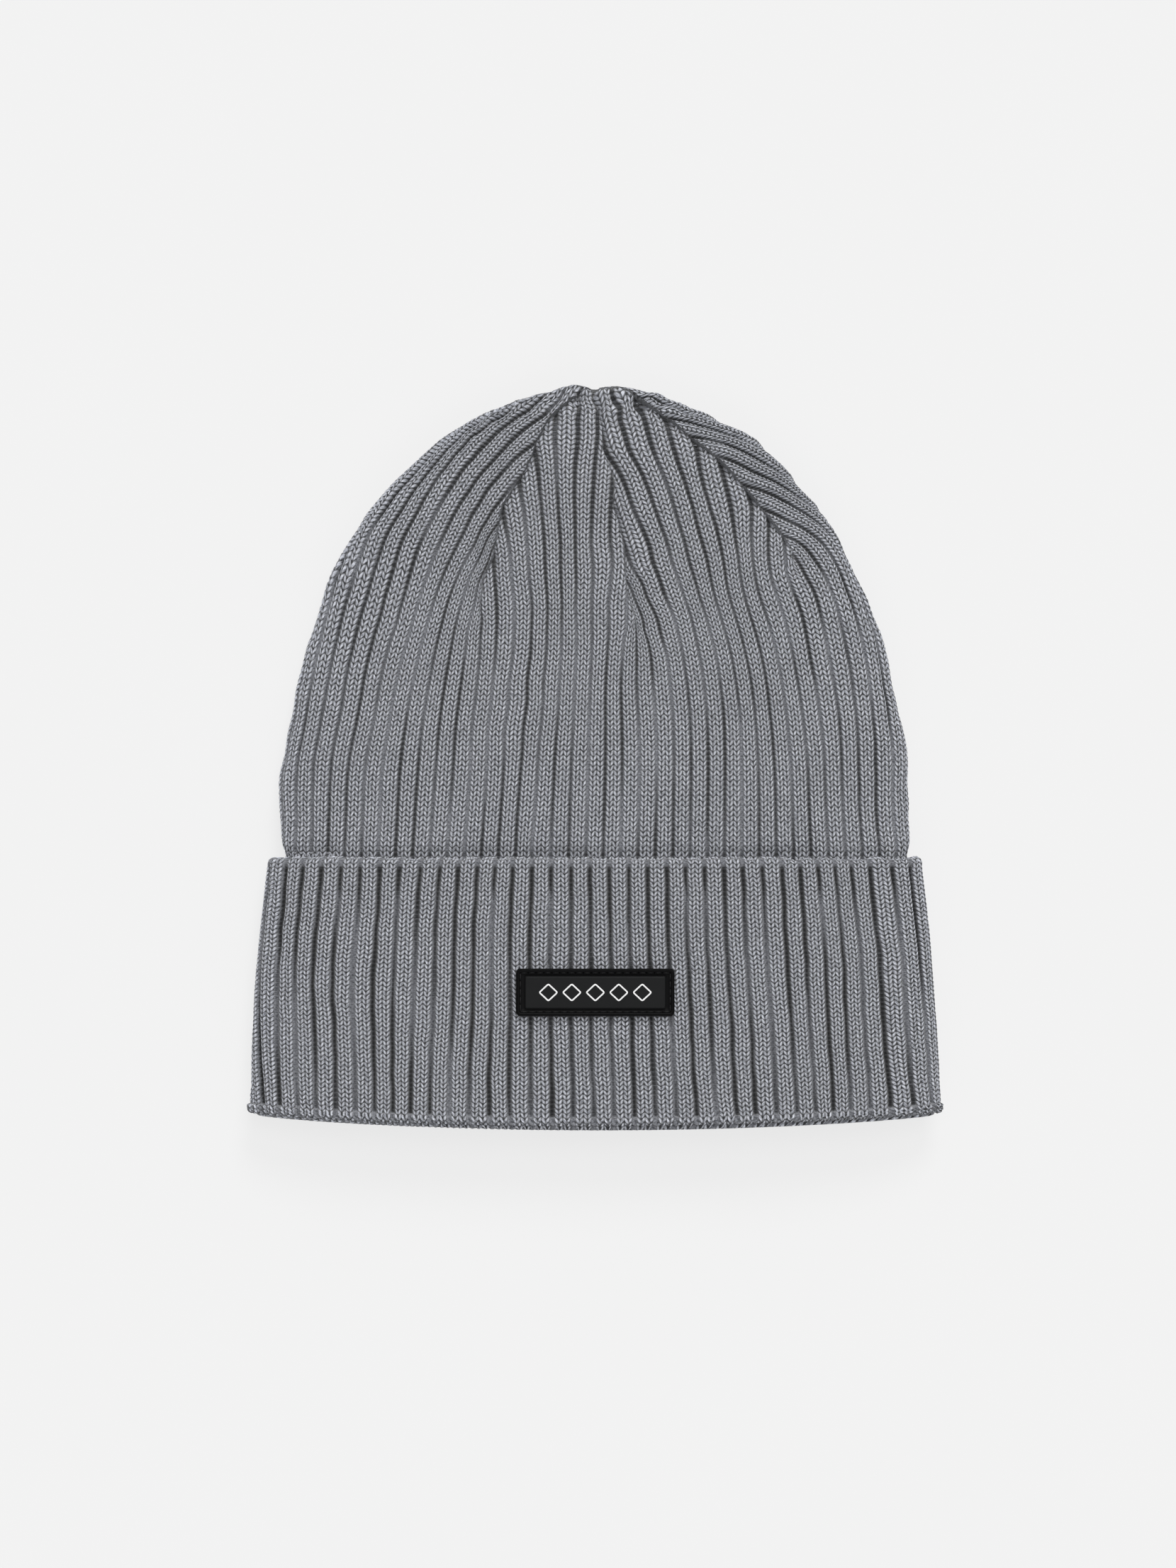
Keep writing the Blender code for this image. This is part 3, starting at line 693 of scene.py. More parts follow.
def body_relief(wale, course, edge_length, starts, lengths, heights):
    """The knitted face's height, with the ribs lapping over one another at the decrease lines.
    Towards the top the ribs stand fuller and the grooves open."""
    up = heights[:, None]
    fuller = ease(150, 222, up)
    uneven = uneven_grooves(lengths, up, 21, 16) + 0.75 * fuller
    height, rib = ribbed(
        wale, course, BODY_PITCH, BODY_GROOVE, BODY_DEPTH * (1 + 0.5 * fuller), BODY_STITCH, 3,
        BODY_FLANKS, uneven)
    height, rib = soft_valleys(height, rib, lengths, up, 0.3 * fuller)
    # Which side of each line stands up: 1 for the left side, -1 for the right.
    for edge, start, upper in zip(edge_length, starts, (1, 1, -1)):
        lean = np.gradient(edge, heights)[:, None]
        side = (edge[:, None] - lengths) / np.sqrt(1 + lean ** 2) * upper
        shown = ease(start, start + 8, up)
        over = np.exp(-((side - 2.4) / 2.4) ** 2) * (side > 0)
        under = np.exp(-(side / 2.6) ** 2) * (side <= 0)
        height = height + shown * (LAP_HEIGHT * over - LAP_TUCK * under)
        # The ribs that go in under a line get painted shade.
        rib = rib * (1 - 0.6 * shown * under)
    return height, rib


crown_rows = crown_heights(CROWN_FRONT_STEP)
crown_columns = ring_columns(109.0, 108.0, CROWN_FRONT_STEP, CROWN_BACK_STEP)
crown_points, crown_lengths, _ = tube([body_section(h) for h in crown_rows], crown_columns)
crown_wale, crown_course, crown_edges, crown_starts = knit_field(crown_rows, crown_lengths)
crown_face = facing(crown_points)
across_mm, up_mm = crown_points[:, :, 0], crown_points[:, :, 1]
crown_wale += 0.16 * wobble(crown_lengths, up_mm, 9, 21) * ease(224, 231, up_mm)
crown_height, crown_rib = body_relief(
    crown_wale, crown_course, crown_edges, crown_starts, crown_lengths, crown_rows)
# Painted shade along the cuff's top edge.
crown_rib *= painted_cuff_edge_shade(up_mm)
sag = body_sag(crown_lengths, up_mm)
front_share = ease(0.0, 6.0, crown_points[:, :, 2] - 4.0)
# The gathered top: a small pit where the last row is drawn together, and pleats running into it.
PIT_PLACE = (-3.5, 231.8)
PLEATS_MEET = (-2.5, 238.0)
PLEAT_COUNT = 13
pit = np.hypot((across_mm - PIT_PLACE[0]) / 1.4, up_mm - PIT_PLACE[1])
around_pit = np.arctan2(up_mm - PLEATS_MEET[1], across_mm - PLEATS_MEET[0])
pleats = 0.55 * np.sin(around_pit * PLEAT_COUNT + 1.3 * wobble(across_mm, up_mm, 9, 8))
pleats *= ease(225, 230, up_mm)
gather = -0.9 * np.exp(-(pit / 2.2) ** 2) + pleats * (1 - ease(232.5, 234.8, up_mm))
crown_height = crown_height * (1 - 0.75 * ease(230, 234, up_mm)) + (sag + gather) * front_share
# Beside the cuff, where the lining lies close, no groove goes through to it.
crown_height = np.maximum(crown_height, -DEEPEST_GROOVE - 3.0 * ease(88, 98, up_mm))
crown_shape = crown_points + crown_face * crown_height[:, :, None]
# The gathered edge stands up in two small bumps, with a notch between them.
bumps = np.exp(-((across_mm - 8) / 5) ** 2) + np.exp(-((across_mm + 8) / 5) ** 2)
notch = np.exp(-((across_mm + 0.5) / 1.8) ** 2)
crown_shape[:, :, 1] += (0.7 * bumps - 0.9 * notch) * ease(228, 234.5, up_mm)
crown_normals = facing(crown_shape)
# The third value, the rib's share, sets the yarn's painted groove shade.
crown_knit = np.stack([crown_wale, crown_course, crown_rib], axis=2)
body_yarn = yarn_finish("marled_wool_mix_rib", BODY_PITCH, BODY_COURSE, BODY_GROOVE, BODY_PAINTED_GROOVE_SHADE)

BACK_PARTS = {"back_left": (-2.0, -1.0), "back_right": (1.0, 2.0)}
CROWN_PARTS = {"left": (-1.0, -0.31), "middle": (-0.31, 0.31), "right": (0.31, 1.0), **BACK_PARTS}
for part, ends in CROWN_PARTS.items():
    chosen = between(crown_columns, *ends)
    piece = knit_sheet(
        f"crown_{part}", crown_shape[:, chosen], crown_normals[:, chosen],
        crown_knit[:, chosen], body_yarn)
    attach(piece, "crown")
    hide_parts("crown")


# The crown's lining. It is only the inner face of the same single layer, where the sunk wales
# stand up and the plain ones lie back, so it shows the ribs the other way round.
LINING_STEP = 1.6
LINING_RELIEF = 0.45
# It lies this much deeper than one layer's thickness, and this much more near the top.
LINING_CLEARANCE = 0.9
CLEARANCE_AT_TOP = 1.3


def lining_section(height):
    """The inner face's half width, middle, half depth and floor: it lies clear of the grooves."""
    _, width, centre, half_depth, floor = body_section(height)
    inset = KNIT_THICKNESS + LINING_CLEARANCE + CLEARANCE_AT_TOP * float(ease(140, 200, height))
    return height, max(0.5, width - inset), centre, max(0.3, half_depth - inset), floor + inset


def lining_relief(wale, course):
    """The inner face's height: soft ribs between the sunk wales, and a row of loops at each course."""
    rows = 0.12 * np.cos(2 * math.pi * course)
    return LINING_RELIEF * (0.5 + 0.5 * np.cos(2 * math.pi * wale)) - LINING_RELIEF + rows


lining_columns = ring_columns(104.0, 103.0, LINING_STEP, 2 * LINING_STEP)
lining_rows = crown_heights(LINING_STEP)[::-1]
lining_rows = lining_rows[lining_rows < HAT_TOP_MM - KNIT_THICKNESS]
lining_points, _, _ = tube([lining_section(h) for h in lining_rows], lining_columns)
outer_row = [int(np.argmin(np.abs(crown_rows - h))) for h in lining_rows]
lining_wale = np.array([np.interp(lining_columns, crown_columns, crown_wale[row]) for row in outer_row])
lining_course = np.array([np.interp(lining_columns, crown_columns, crown_course[row]) for row in outer_row])
lining_height = lining_relief(lining_wale, lining_course)
lining_shape = lining_points + facing(lining_points) * lining_height[:, :, None]
lining_knit = np.stack([lining_wale, lining_course, np.full(lining_wale.shape, 0.8)], axis=2)
piece = knit_sheet("crown_lining", lining_shape, facing(lining_shape), lining_knit, body_yarn)
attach(piece, "crown")


# The inner band. The crown's knitting runs on down inside the cuff to the fold. It is one layer
# with the crown, and it shows when the cuff is turned down. Only its lowest part stretches then.
BAND_ROWS_STEP = 0.6
BAND_HIDDEN_STEP = 1.6
BAND_SHOWN_FROM = 23.0
BAND_LOW = 4.2
FOLD_TOP = 8.0


def up(height):
    """A place on the hat's centre line at a height along it, in metres."""
    return (0.0, HAT_BOTTOM + height * MM, 0.0)


shown_rows = round((CROWN_START - BAND_SHOWN_FROM) / BAND_ROWS_STEP) + 1
band_rows = np.concatenate([
    np.arange(BAND_LOW, BAND_SHOWN_FROM, BAND_HIDDEN_STEP),
    np.linspace(BAND_SHOWN_FROM, CROWN_START, shown_rows)])
band_up = band_rows[:, None]
band_points, band_lengths, _ = tube([body_section(h) for h in band_rows], crown_columns)
band_wale = np.repeat(crown_wale[:1], len(band_rows), 0)
band_course = crown_course[:1] + (band_up - CROWN_START) / BODY_COURSE
band_height, band_rib = ribbed(
    band_wale, band_course, BODY_PITCH, BODY_GROOVE, BODY_DEPTH, BODY_STITCH, 3, BODY_FLANKS,
    uneven_grooves(band_lengths, band_up, 21, 16))
band_height, band_rib = soft_valleys(band_height, band_rib, band_lengths, band_up)
# Painted shade along the cuff's top edge.
band_rib = band_rib * painted_cuff_edge_shade(band_up)
band_height += body_sag(band_lengths, band_up) * front_share[:1] * ease(70, CROWN_START, band_up)
band_height = np.maximum(band_height, -DEEPEST_GROOVE)
band_shape = band_points + facing(band_points) * band_height[:, :, None]
band_shape[-1] = crown_shape[0]
band_normals = facing(band_shape)
band_normals[-1] = crown_normals[0]
band_knit = np.stack([band_wale, band_course, band_rib], axis=2)
for part, ends in {"front": (-1.0, 1.0), **BACK_PARTS}.items():
    chosen = between(crown_columns, *ends)
    piece = knit_sheet(
        f"inner_band_{part}", band_shape[:, chosen], band_normals[:, chosen],
        band_knit[:, chosen], body_yarn)
    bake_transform(piece)
    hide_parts("inner_band")


# The cuff, turned up twice as thick as the rest. It shows the knitting's other face, with wide
# deep grooves, because the band stretches over the head; the grooves also get painted shade. It
# narrows a little towards its top, where the soft tubular edge that the knitting was begun with
# rolls over. Its lowest part turns in and runs up inside: that is the fold.
CUFF_PITCH = 6.2
CUFF_COURSE = 1.46
CUFF_GROOVE = 1.45
CUFF_RIB_DEPTH = 2.0
CUFF_STITCH = 0.42
CUFF_FLANKS = (1.9, 0.9)
CUFF_HEIGHT = 85.4
CUFF_HALF_WIDTH_BOTTOM = 110.0
CUFF_HALF_WIDTH_TOP = 104.0
CUFF_BOW = 4.3
CUFF_FRONT_STEP = 0.44
CUFF_BACK_STEP = 0.85
CUFF_TUCK = 8.0
# The cord along the fold: loops to a rib, and the height of the line that its two rows meet on.
CORD_LOOPS = 3
CORD_LINE = 0.4
# How dark the painted shade in the cuff's grooves is.
CUFF_PAINTED_GROOVE_SHADE = 0.2
FOLD_HEIGHT = 3.3
FOLD_INSET = 7.0
FOLD_ROUNDNESS = 0.7
EDGE_RADIUS = KNIT_THICKNESS / 2
EDGE_START = CUFF_HEIGHT - EDGE_RADIUS
# Grooves across the cuff, two thirds of the way up, from the left side to the right.
CUFF_GROOVES = [
    -106.0, -100.0, -94.6, -88.6, -82.2, -75.8, -69.3, -63.0, -56.5, -50.3, -44.3, -38.1, -32.4, -26.8,
    -20.6, -14.3, -7.8, -1.6, 4.6, 10.7, 16.7, 22.9, 28.9, 35.0, 41.1, 47.3, 53.6, 60.0, 66.0, 71.8,
    77.4, 82.8, 88.8, 96.5, 102.3]
CUFF_GROOVES_UP = 65.0
# The same grooves just above the fold.
CUFF_GROOVES_LOW = [
    -105.5, -100.0, -93.7, -88.0, -81.8, -75.8, -69.7, -63.9, -58.4, -52.3, -46.3, -40.0, -33.4, -26.8,
    -20.2, -13.7, -7.1, -0.5, 6.0, 12.5, 19.0, 25.5, 32.0, 38.5, 45.0, 50.8, 57.3, 63.7, 69.6, 75.4,
    80.8, 86.8, 93.3, 101.2, 107.5]


def cuff_section(height, inset):
    """The cuff's half width, middle, half depth and floor, at a depth under its outer face."""
    share = min(1.0, inset / FOLD_INSET) if height < EDGE_START else inset / FOLD_INSET
    drawn_in = (max(0.0, height) / CUFF_HEIGHT) ** 1.8
    outer = CUFF_HALF_WIDTH_BOTTOM + (CUFF_HALF_WIDTH_TOP - CUFF_HALF_WIDTH_BOTTOM) * drawn_in
    inner = BAND_HALF_WIDTH - KNIT_THICKNESS
    width = outer - inset
    if height <= FOLD_HEIGHT + 0.001 or inset > KNIT_THICKNESS + 0.01:
        width = outer + (inner - outer) * share
    return height, width, CUFF_DEPTH / 2, CUFF_DEPTH / 2 - inset, inset


def cuff_sheet(stations, columns):
    """Points of one stretch of the cuff. Below the fold's top the rows bow up towards the sides."""
    points, lengths, side_length = tube([cuff_section(*station) for station in stations], columns)
    bow = CUFF_BOW * (points[:, :, 0] / CUFF_HALF_WIDTH_BOTTOM) ** 2
    low = np.clip(1 - points[:, :, 1] / FOLD_TOP, 0, 1)
    points[:, :, 1] += bow * low
    return points, lengths, side_length


def groove_shares(places, height):
    """Places across the cuff as shares of the length round from its middle to its side."""
    ring_x, _, length = half_ring(*cuff_section(height, 0.0)[1:])
    front_x, front_length = ring_x[:RING_STEPS], length[:RING_STEPS]
    found = [math.copysign(np.interp(abs(x), front_x, front_length), x) for x in places]
    return np.array(found) / length[RING_STEPS]


def cuff_wales(lengths, side_length, heights):
    """The wale count at each point, from the grooves' places; past the sides it runs on evenly."""
    high = groove_shares(CUFF_GROOVES, CUFF_GROOVES_UP)
    low = groove_shares(CUFF_GROOVES_LOW, FOLD_HEIGHT)
    numbers = np.arange(len(high), dtype=float)
    wale = np.zeros(lengths.shape)
    for row, height in enumerate(heights):
        down = (CUFF_GROOVES_UP - height) / (CUFF_GROOVES_UP - FOLD_HEIGHT)
        down = min(1.0, max(0.0, down)) ** 1.7
        places = (high + (low - high) * down) * side_length[row]
        run = lengths[row]
        count = np.interp(run, places, numbers)
        count = np.where(run < places[0], (run - places[0]) / CUFF_PITCH, count)
        wale[row] = np.where(run > places[-1], numbers[-1] + (run - places[-1]) / CUFF_PITCH, count)
    return wale


def level(points):
    """The height that a row of stitches had before the lower edge bowed."""
    bow = CUFF_BOW * (points[:, :, 0] / CUFF_HALF_WIDTH_BOTTOM) ** 2
    return (points[:, :, 1] - bow) / (1 - bow / CUFF_HEIGHT)


cuff_columns = ring_columns(119.0, 118.0, CUFF_FRONT_STEP, CUFF_BACK_STEP)
turn_in = np.linspace(0, math.pi, 15)
outer_rows = np.linspace(FOLD_TOP, EDGE_START, round((EDGE_START - FOLD_TOP) / CUFF_FRONT_STEP) + 1)
# Each station is a height and a depth under the cuff's outer face: up the face, round the rolled
# edge and a little way down behind it. The fold's own stations run from inside to outside.
cuff_stations = [(h, 0.0) for h in outer_rows]
for t in turn_in[1:]:
    cuff_stations.append((EDGE_START + EDGE_RADIUS * math.sin(t), EDGE_RADIUS * (1 - math.cos(t))))
cuff_stations += [(EDGE_START - d, KNIT_THICKNESS) for d in np.arange(0.7, CUFF_TUCK, 0.9)]
fold_turn = np.linspace(0, math.pi, 37)
outer_low = np.linspace(FOLD_HEIGHT, FOLD_TOP, 13)
fold_stations = [(h, FOLD_INSET) for h in outer_low[:0:-2]]
for t in fold_turn:
    deep = math.copysign(abs(math.cos(t)) ** FOLD_ROUNDNESS, math.cos(t))
    fold_stations.append((FOLD_HEIGHT * (1 - math.sin(t) ** FOLD_ROUNDNESS), FOLD_INSET * (1 + deep) / 2))
fold_stations += [(h, 0.0) for h in outer_low[1:]]
all_stations = fold_stations + cuff_stations[1:]
cuff_points, cuff_lengths, cuff_side = cuff_sheet(all_stations, cuff_columns)
# Courses are counted along the face by height, and round the turns by the length of the knitting.
path = np.zeros(len(all_stations))
centre_path = cuff_points[:, len(cuff_columns) // 2]
path[1:] = np.cumsum(np.linalg.norm(np.diff(centre_path, axis=0), axis=1))
first_outer = len(fold_stations) - len(outer_low[1:]) - 1
path += FOLD_HEIGHT - path[first_outer]
on_face = (np.arange(len(all_stations)) >= first_outer) & (path <= EDGE_START)
cuff_up = np.where(on_face[:, None], level(cuff_points), path[:, None])
cuff_wale = cuff_wales(cuff_lengths, cuff_side, path)
sway = 0.045 * wobble(cuff_lengths, cuff_up, 40, 11) + 0.016 * wobble(cuff_lengths, cuff_up, 14, 12)
cuff_wale = cuff_wale + sway * ease(-1, 6, cuff_up)
cuff_course = cuff_up / CUFF_COURSE
# Ribs run out just under the top edge, and again just above the fold, where a row of small
# slanting loops lies like a cord along the turn.
near_edge = 1 - 0.75 * ease(EDGE_START - 2.2, EDGE_START - 0.2, cuff_up)
near_fold = 1 - 0.9 * (1 - ease(2.8, 3.9, cuff_up)) * ease(-9, -6, cuff_up)
uneven = uneven_grooves(cuff_lengths, cuff_up, 17, 15)
stitched, cuff_rib = ribbed(
    cuff_wale, cuff_course, CUFF_PITCH, CUFF_GROOVE, 0.0, CUFF_STITCH, 9, CUFF_FLANKS, uneven)
crisp = np.clip(0.8 + 0.32 * wobble(cuff_lengths, cuff_up * 0.2, 14, 23), 0.5, 1.0)
crisp = crisp + (1 - crisp) * ease(70, 80, cuff_up)
rib_share = near_edge * near_fold * crisp
cuff_height = -CUFF_RIB_DEPTH * (1 - cuff_rib) * rib_share + stitched
# The painted groove shade follows the groove's depth: where ribs run out or grooves are soft, it is less.
cuff_rib = 1 - (1 - cuff_rib) * rib_share
cord_zone = ease(-4.5, -3.0, cuff_up) * (1 - ease(2.6, 3.3, cuff_up))
cord_turn = CORD_LOOPS * cuff_wale + np.abs(cuff_up - CORD_LINE) / 2.0
cord_strand = np.sqrt(np.clip(1 - (2 * (cord_turn - np.floor(cord_turn)) - 1) ** 2, 0, 1))
cord_strand *= 1 - 0.8 * np.exp(-((cuff_up - CORD_LINE) / 0.4) ** 2)
cuff_height = cuff_height * (1 - 0.85 * cord_zone) + cord_zone * (1.5 * cord_strand - 0.6)
# Between the cord's loops the yarn is darkened with painted shade.
cuff_rib = cuff_rib * (1 - cord_zone) + cord_zone * (0.24 + 0.76 * cord_strand)
cuff_sag = 0.4 * wobble(cuff_lengths, cuff_up, 52, 13) - 0.1
# The cuff lies flat where the patch is sewn to it and slides.
cuff_sag *= 1 - 0.8 * np.exp(-(cuff_points[:, :, 0] / 32) ** 4)
cuff_height += cuff_sag * ease(4, 20, cuff_points[:, :, 2]) * ease(4, 12, cuff_up)
cuff_height *= 1 - 0.75 * ease(EDGE_START + 2, EDGE_START + 5, cuff_up)
edge_waves = 0.35 * wobble(cuff_lengths, np.zeros(cuff_up.shape), 8, 14)
cuff_height += edge_waves * ease(EDGE_START - 3, CUFF_HEIGHT, cuff_up)
cuff_shape = cuff_points + facing(cuff_points) * cuff_height[:, :, None]
cuff_normals = facing(cuff_shape)
# The third value, the rib's share, sets the yarn's painted groove shade.
cuff_knit = np.stack([cuff_wale, cuff_course, cuff_rib], axis=2)
cuff_yarn = yarn_finish("marled_wool_mix_cuff", CUFF_PITCH, CUFF_COURSE, CUFF_GROOVE, CUFF_PAINTED_GROOVE_SHADE)

fold_end = len(fold_stations)
for part, ends in {"left": (-1.0, 0.0), "right": (0.0, 1.0), **BACK_PARTS}.items():
    chosen = between(cuff_columns, *ends)
    for name, rows in (("cuff", slice(fold_end - 1, None)), ("cuff_fold", slice(0, fold_end))):
        piece = knit_sheet(
            f"{name}_{part}", cuff_shape[rows, chosen], cuff_normals[rows, chosen],
            cuff_knit[rows, chosen], cuff_yarn)
        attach(piece, "cuff")
        if name == "cuff":
            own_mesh(piece)
            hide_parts("cuff", "cast_on_edge")
        else:
            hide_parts("cuff_fold")

# The inner faces of the cuff and of the band, one layer further in: each one's depth and heights.
# The cuff's own is hidden and stays plain, and the band's runs out flat where it meets the fold.
CUFF_LINING_DEEPER = 0.25
INNER_FACES = {
    "cuff_lining": (
        KNIT_THICKNESS + CUFF_LINING_DEEPER, np.linspace(EDGE_START - CUFF_TUCK + 1, FOLD_TOP, 44)),
    "inner_band_lining": (FOLD_INSET, np.linspace(CROWN_START, FOLD_TOP, 60))}
first_wales = np.interp(lining_columns, crown_columns, crown_wale[0])
for name, (depth, heights) in INNER_FACES.items():
    face_points, _, _ = cuff_sheet([(h, depth) for h in heights], lining_columns)
    face_wale = np.repeat(first_wales[None], len(heights), 0)
    face_course = np.repeat(heights[:, None] / BODY_COURSE, len(lining_columns), 1)
    relief = np.zeros(face_wale.shape)
    if name == "inner_band_lining":
        relief[:-1] = lining_relief(face_wale, face_course)[:-1]
    face_shape = face_points + facing(face_points) * relief[:, :, None]
    face_knit = np.stack([face_wale, face_course, np.full(face_wale.shape, 0.8)], axis=2)
    piece = knit_sheet(name, face_shape, facing(face_shape), face_knit, body_yarn)
    if name == "cuff_lining":
        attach(piece, "cuff")
        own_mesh(piece)
    else:
        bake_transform(piece)


# The patch. Black soft rubber, moulded in one with its rim and a channel for the sewing, and
# stitched to the cuff's front through the channel's floor.
PATCH_HALF = (25.0, 7.5)
PATCH_CORNER = 1.4
PATCH_RIM = 1.1
# The rubber's grain and its dust: how many specks to a metre, and how deep the grain is. Then how
# far a thread's plies stand out.
GRAIN_PER_METRE = 2600.0
DUST_PER_METRE = 300.0
GRAIN_DEPTH = 0.08
PLY_DEPTH = 0.08
patch_low, patch_high = (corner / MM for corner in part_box("patch_base"))
PATCH_UP = (patch_low.y + patch_high.y) / 2 - HAT_BOTTOM / MM
PATCH_FLOOR = patch_low.z + 0.8


def rounded_loop(half, corner, z, steps=7):
    """Corners of a rounded rectangle round the patch's middle, at a height, in millimetres."""
    loop = []
    for quarter, (side_x, side_y) in enumerate([(1, 1), (-1, 1), (-1, -1), (1, -1)]):
        for turn in np.linspace(0, math.pi / 2, steps) + quarter * math.pi / 2:
            loop.append((side_x * (half[0] - corner) + corner * math.cos(turn),
                         PATCH_UP + side_y * (half[1] - corner) + corner * math.sin(turn), z))
    return loop


def solid_from_rings(name, rings, material, capped=True, crease=50):
    """A closed skin over a row of rings with equal numbers of corners. Uncapped, it is a ring tube.
    Edges that turn by more than crease, in degrees, stay sharp."""
    form = bmesh.new()
    layers = []
    for ring in rings:
        layers.append([form.verts.new((x * MM, HAT_BOTTOM + y * MM, z * MM)) for x, y, z in ring])
    pairs = list(zip(layers[:-1], layers[1:])) + ([] if capped else [(layers[-1], layers[0])])
    for lower, upper in pairs:
        for i in range(len(lower)):
            j = (i + 1) % len(lower)
            form.faces.new((lower[i], lower[j], upper[j], upper[i]))
    if capped:
        form.faces.new(layers[0][::-1])
        form.faces.new(layers[-1])
    bmesh.ops.recalc_face_normals(form, faces=form.faces)
    mesh = bpy.data.meshes.new(name)
    form.to_mesh(mesh)
    form.free()
    mesh.shade_smooth()
    mesh.set_sharp_from_angle(angle=math.radians(crease))
    mesh.materials.append(material)
    piece = bpy.data.objects.new(name, mesh)
    bpy.context.scene.collection.objects.link(piece)
    return piece


def rubber_finish(name, tint, rough, grain, shine):
    """Soft moulded rubber: near black and matt, with a dull broad shine and a fine mould grain."""
    material, tree, shader = new_finish(name, Roughness=rough, Specular_IOR_Level=shine)
    place = add_node(tree, "ShaderNodeTexCoord")
    speck = add_node(
        tree, "ShaderNodeTexNoise",
        links={"Vector": place.outputs["Object"], "Scale": GRAIN_PER_METRE, "Detail": 2.0})
    dust = add_node(
        tree, "ShaderNodeTexNoise",
        links={"Vector": place.outputs["Object"], "Scale": DUST_PER_METRE, "Detail": 3.0})
    shade = add_node(
        tree, "ShaderNodeMix", {"data_type": "RGBA"},
        {0: dust.outputs["Fac"], 6: colour(tint[0]), 7: colour(tint[1])})
    tree.links.new(shade.outputs[2], shader.inputs["Base Color"])
    bump = add_node(
        tree, "ShaderNodeBump",
        links={"Height": speck.outputs["Fac"], "Strength": grain, "Distance": GRAIN_DEPTH * MM})
    tree.links.new(bump.outputs[0], shader.inputs["Normal"])
    return material


base_rubber = rubber_finish("moulded_black_rubber", ("#060607", "#0A0A0B"), 0.55, 0.5, 0.1)
top = patch_high.z
# From the underside up the wall, over the rim with its two fine ridges, and down into the channel.
base_profile = [
    (0.35, patch_low.z), (0.0, patch_low.z + 0.3), (0.0, top - 0.35), (0.1, top - 0.12), (0.28, top),
    (0.45, top), (0.53, top - 0.16), (0.62, top), (0.95, top), (PATCH_RIM, top - 0.15),
    (PATCH_RIM + 0.06, PATCH_FLOOR + 0.12), (PATCH_RIM + 0.2, PATCH_FLOOR), (3.4, PATCH_FLOOR)]
base_rings = [rounded_loop((PATCH_HALF[0] - d, PATCH_HALF[1] - d), max(0.35, PATCH_CORNER - 0.7 * d), z)
              for d, z in base_profile]
patch_base = solid_from_rings("patch_rim_and_bed", base_rings, base_rubber)
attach(patch_base, "patch")
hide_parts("patch_base")


# The patch's panel. A raised field in the same moulding, smoother and a little lighter, with a
# bevelled edge that catches the light.
panel_low, panel_high = (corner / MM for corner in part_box("patch_panel"))
PANEL_HALF = ((panel_high.x - panel_low.x) / 2, (panel_high.y - panel_low.y) / 2)
panel_rubber = rubber_finish("smooth_black_rubber", ("#0D0E0F", "#121314"), 0.5, 0.25, 0.14)
panel_profile = [(0.0, PATCH_FLOOR - 0.3), (0.0, panel_high.z - 0.35), (0.08, panel_high.z - 0.22),
                 (0.3, panel_high.z - 0.05), (0.42, panel_high.z), (0.6, panel_high.z)]
panel_rings = [rounded_loop((PANEL_HALF[0] - d, PANEL_HALF[1] - d), max(0.2, 0.7 - d), z)
               for d, z in panel_profile]
patch_panel = solid_from_rings("patch_raised_field", panel_rings, panel_rubber)
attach(patch_panel, "patch")
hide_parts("patch_panel")


# The patch's sewing. Black polyester thread, one short stitch after another round the channel's
# floor, each one dipping into the rubber at its ends.
STITCH_LENGTH = 2.0
STITCH_GAP = 0.45
THREAD_RADIUS = 0.17
SEWING_LINE = (24.0 - 0.35, 6.5 - 0.35)


def sweep(path, radius, sides=8, flat=1.0):
    """Rings round a path in millimetres. flat below 1 presses the section down."""
    path = [Vector(p) for p in path]
    rings = []
    for i, point in enumerate(path):
        way = (path[min(i + 1, len(path) - 1)] - path[max(i - 1, 0)]).normalized()
        across = way.cross(Vector((0, 0, 1)))
        across = across.normalized() if across.length > 0.05 else Vector((1, 0, 0))
        raised = across.cross(way).normalized()
        size = radius[i] if hasattr(radius, "__len__") else radius
        turns = [2 * math.pi * k / sides for k in range(sides)]
        rings.append([point + size * (math.cos(t) * across + flat * math.sin(t) * raised) for t in turns])
    return rings


def joined(name, parts, material):
    """One piece from many short forms made with solid_from_rings."""
    forms = [solid_from_rings(f"{name}_{i}", rings, material) for i, rings in enumerate(parts)]
    whole = bmesh.new()
    for form in forms:
        whole.from_mesh(form.data)
        used = form.data
        bpy.data.objects.remove(form)
        bpy.data.meshes.remove(used)
    mesh = bpy.data.meshes.new(name)
    whole.to_mesh(mesh)
    whole.free()
    mesh.shade_smooth()
    mesh.materials.append(material)
    piece = bpy.data.objects.new(name, mesh)
    bpy.context.scene.collection.objects.link(piece)
    return piece


def thread_finish(name, dark, light, across_scale):
    """Twisted sewing thread: fine slanting plies, with a faint silky shine along them."""
    material, tree, shader = new_finish(name, Roughness=0.5, Specular_IOR_Level=0.35)
    place = add_node(tree, "ShaderNodeTexCoord")
    plies = add_node(
        tree, "ShaderNodeTexWave", {"wave_type": "BANDS", "bands_direction": "DIAGONAL"},
        {"Vector": place.outputs["Object"], "Scale": across_scale, "Distortion": 1.5, "Detail": 1.0})
    shade = add_node(
        tree, "ShaderNodeMix", {"data_type": "RGBA"},
        {0: plies.outputs["Fac"], 6: colour(dark), 7: colour(light)})
    tree.links.new(shade.outputs[2], shader.inputs["Base Color"])
    bump = add_node(
        tree, "ShaderNodeBump",
        links={"Height": plies.outputs["Fac"], "Strength": 0.6, "Distance": PLY_DEPTH * MM})
    tree.links.new(bump.outputs[0], shader.inputs["Normal"])
    return material


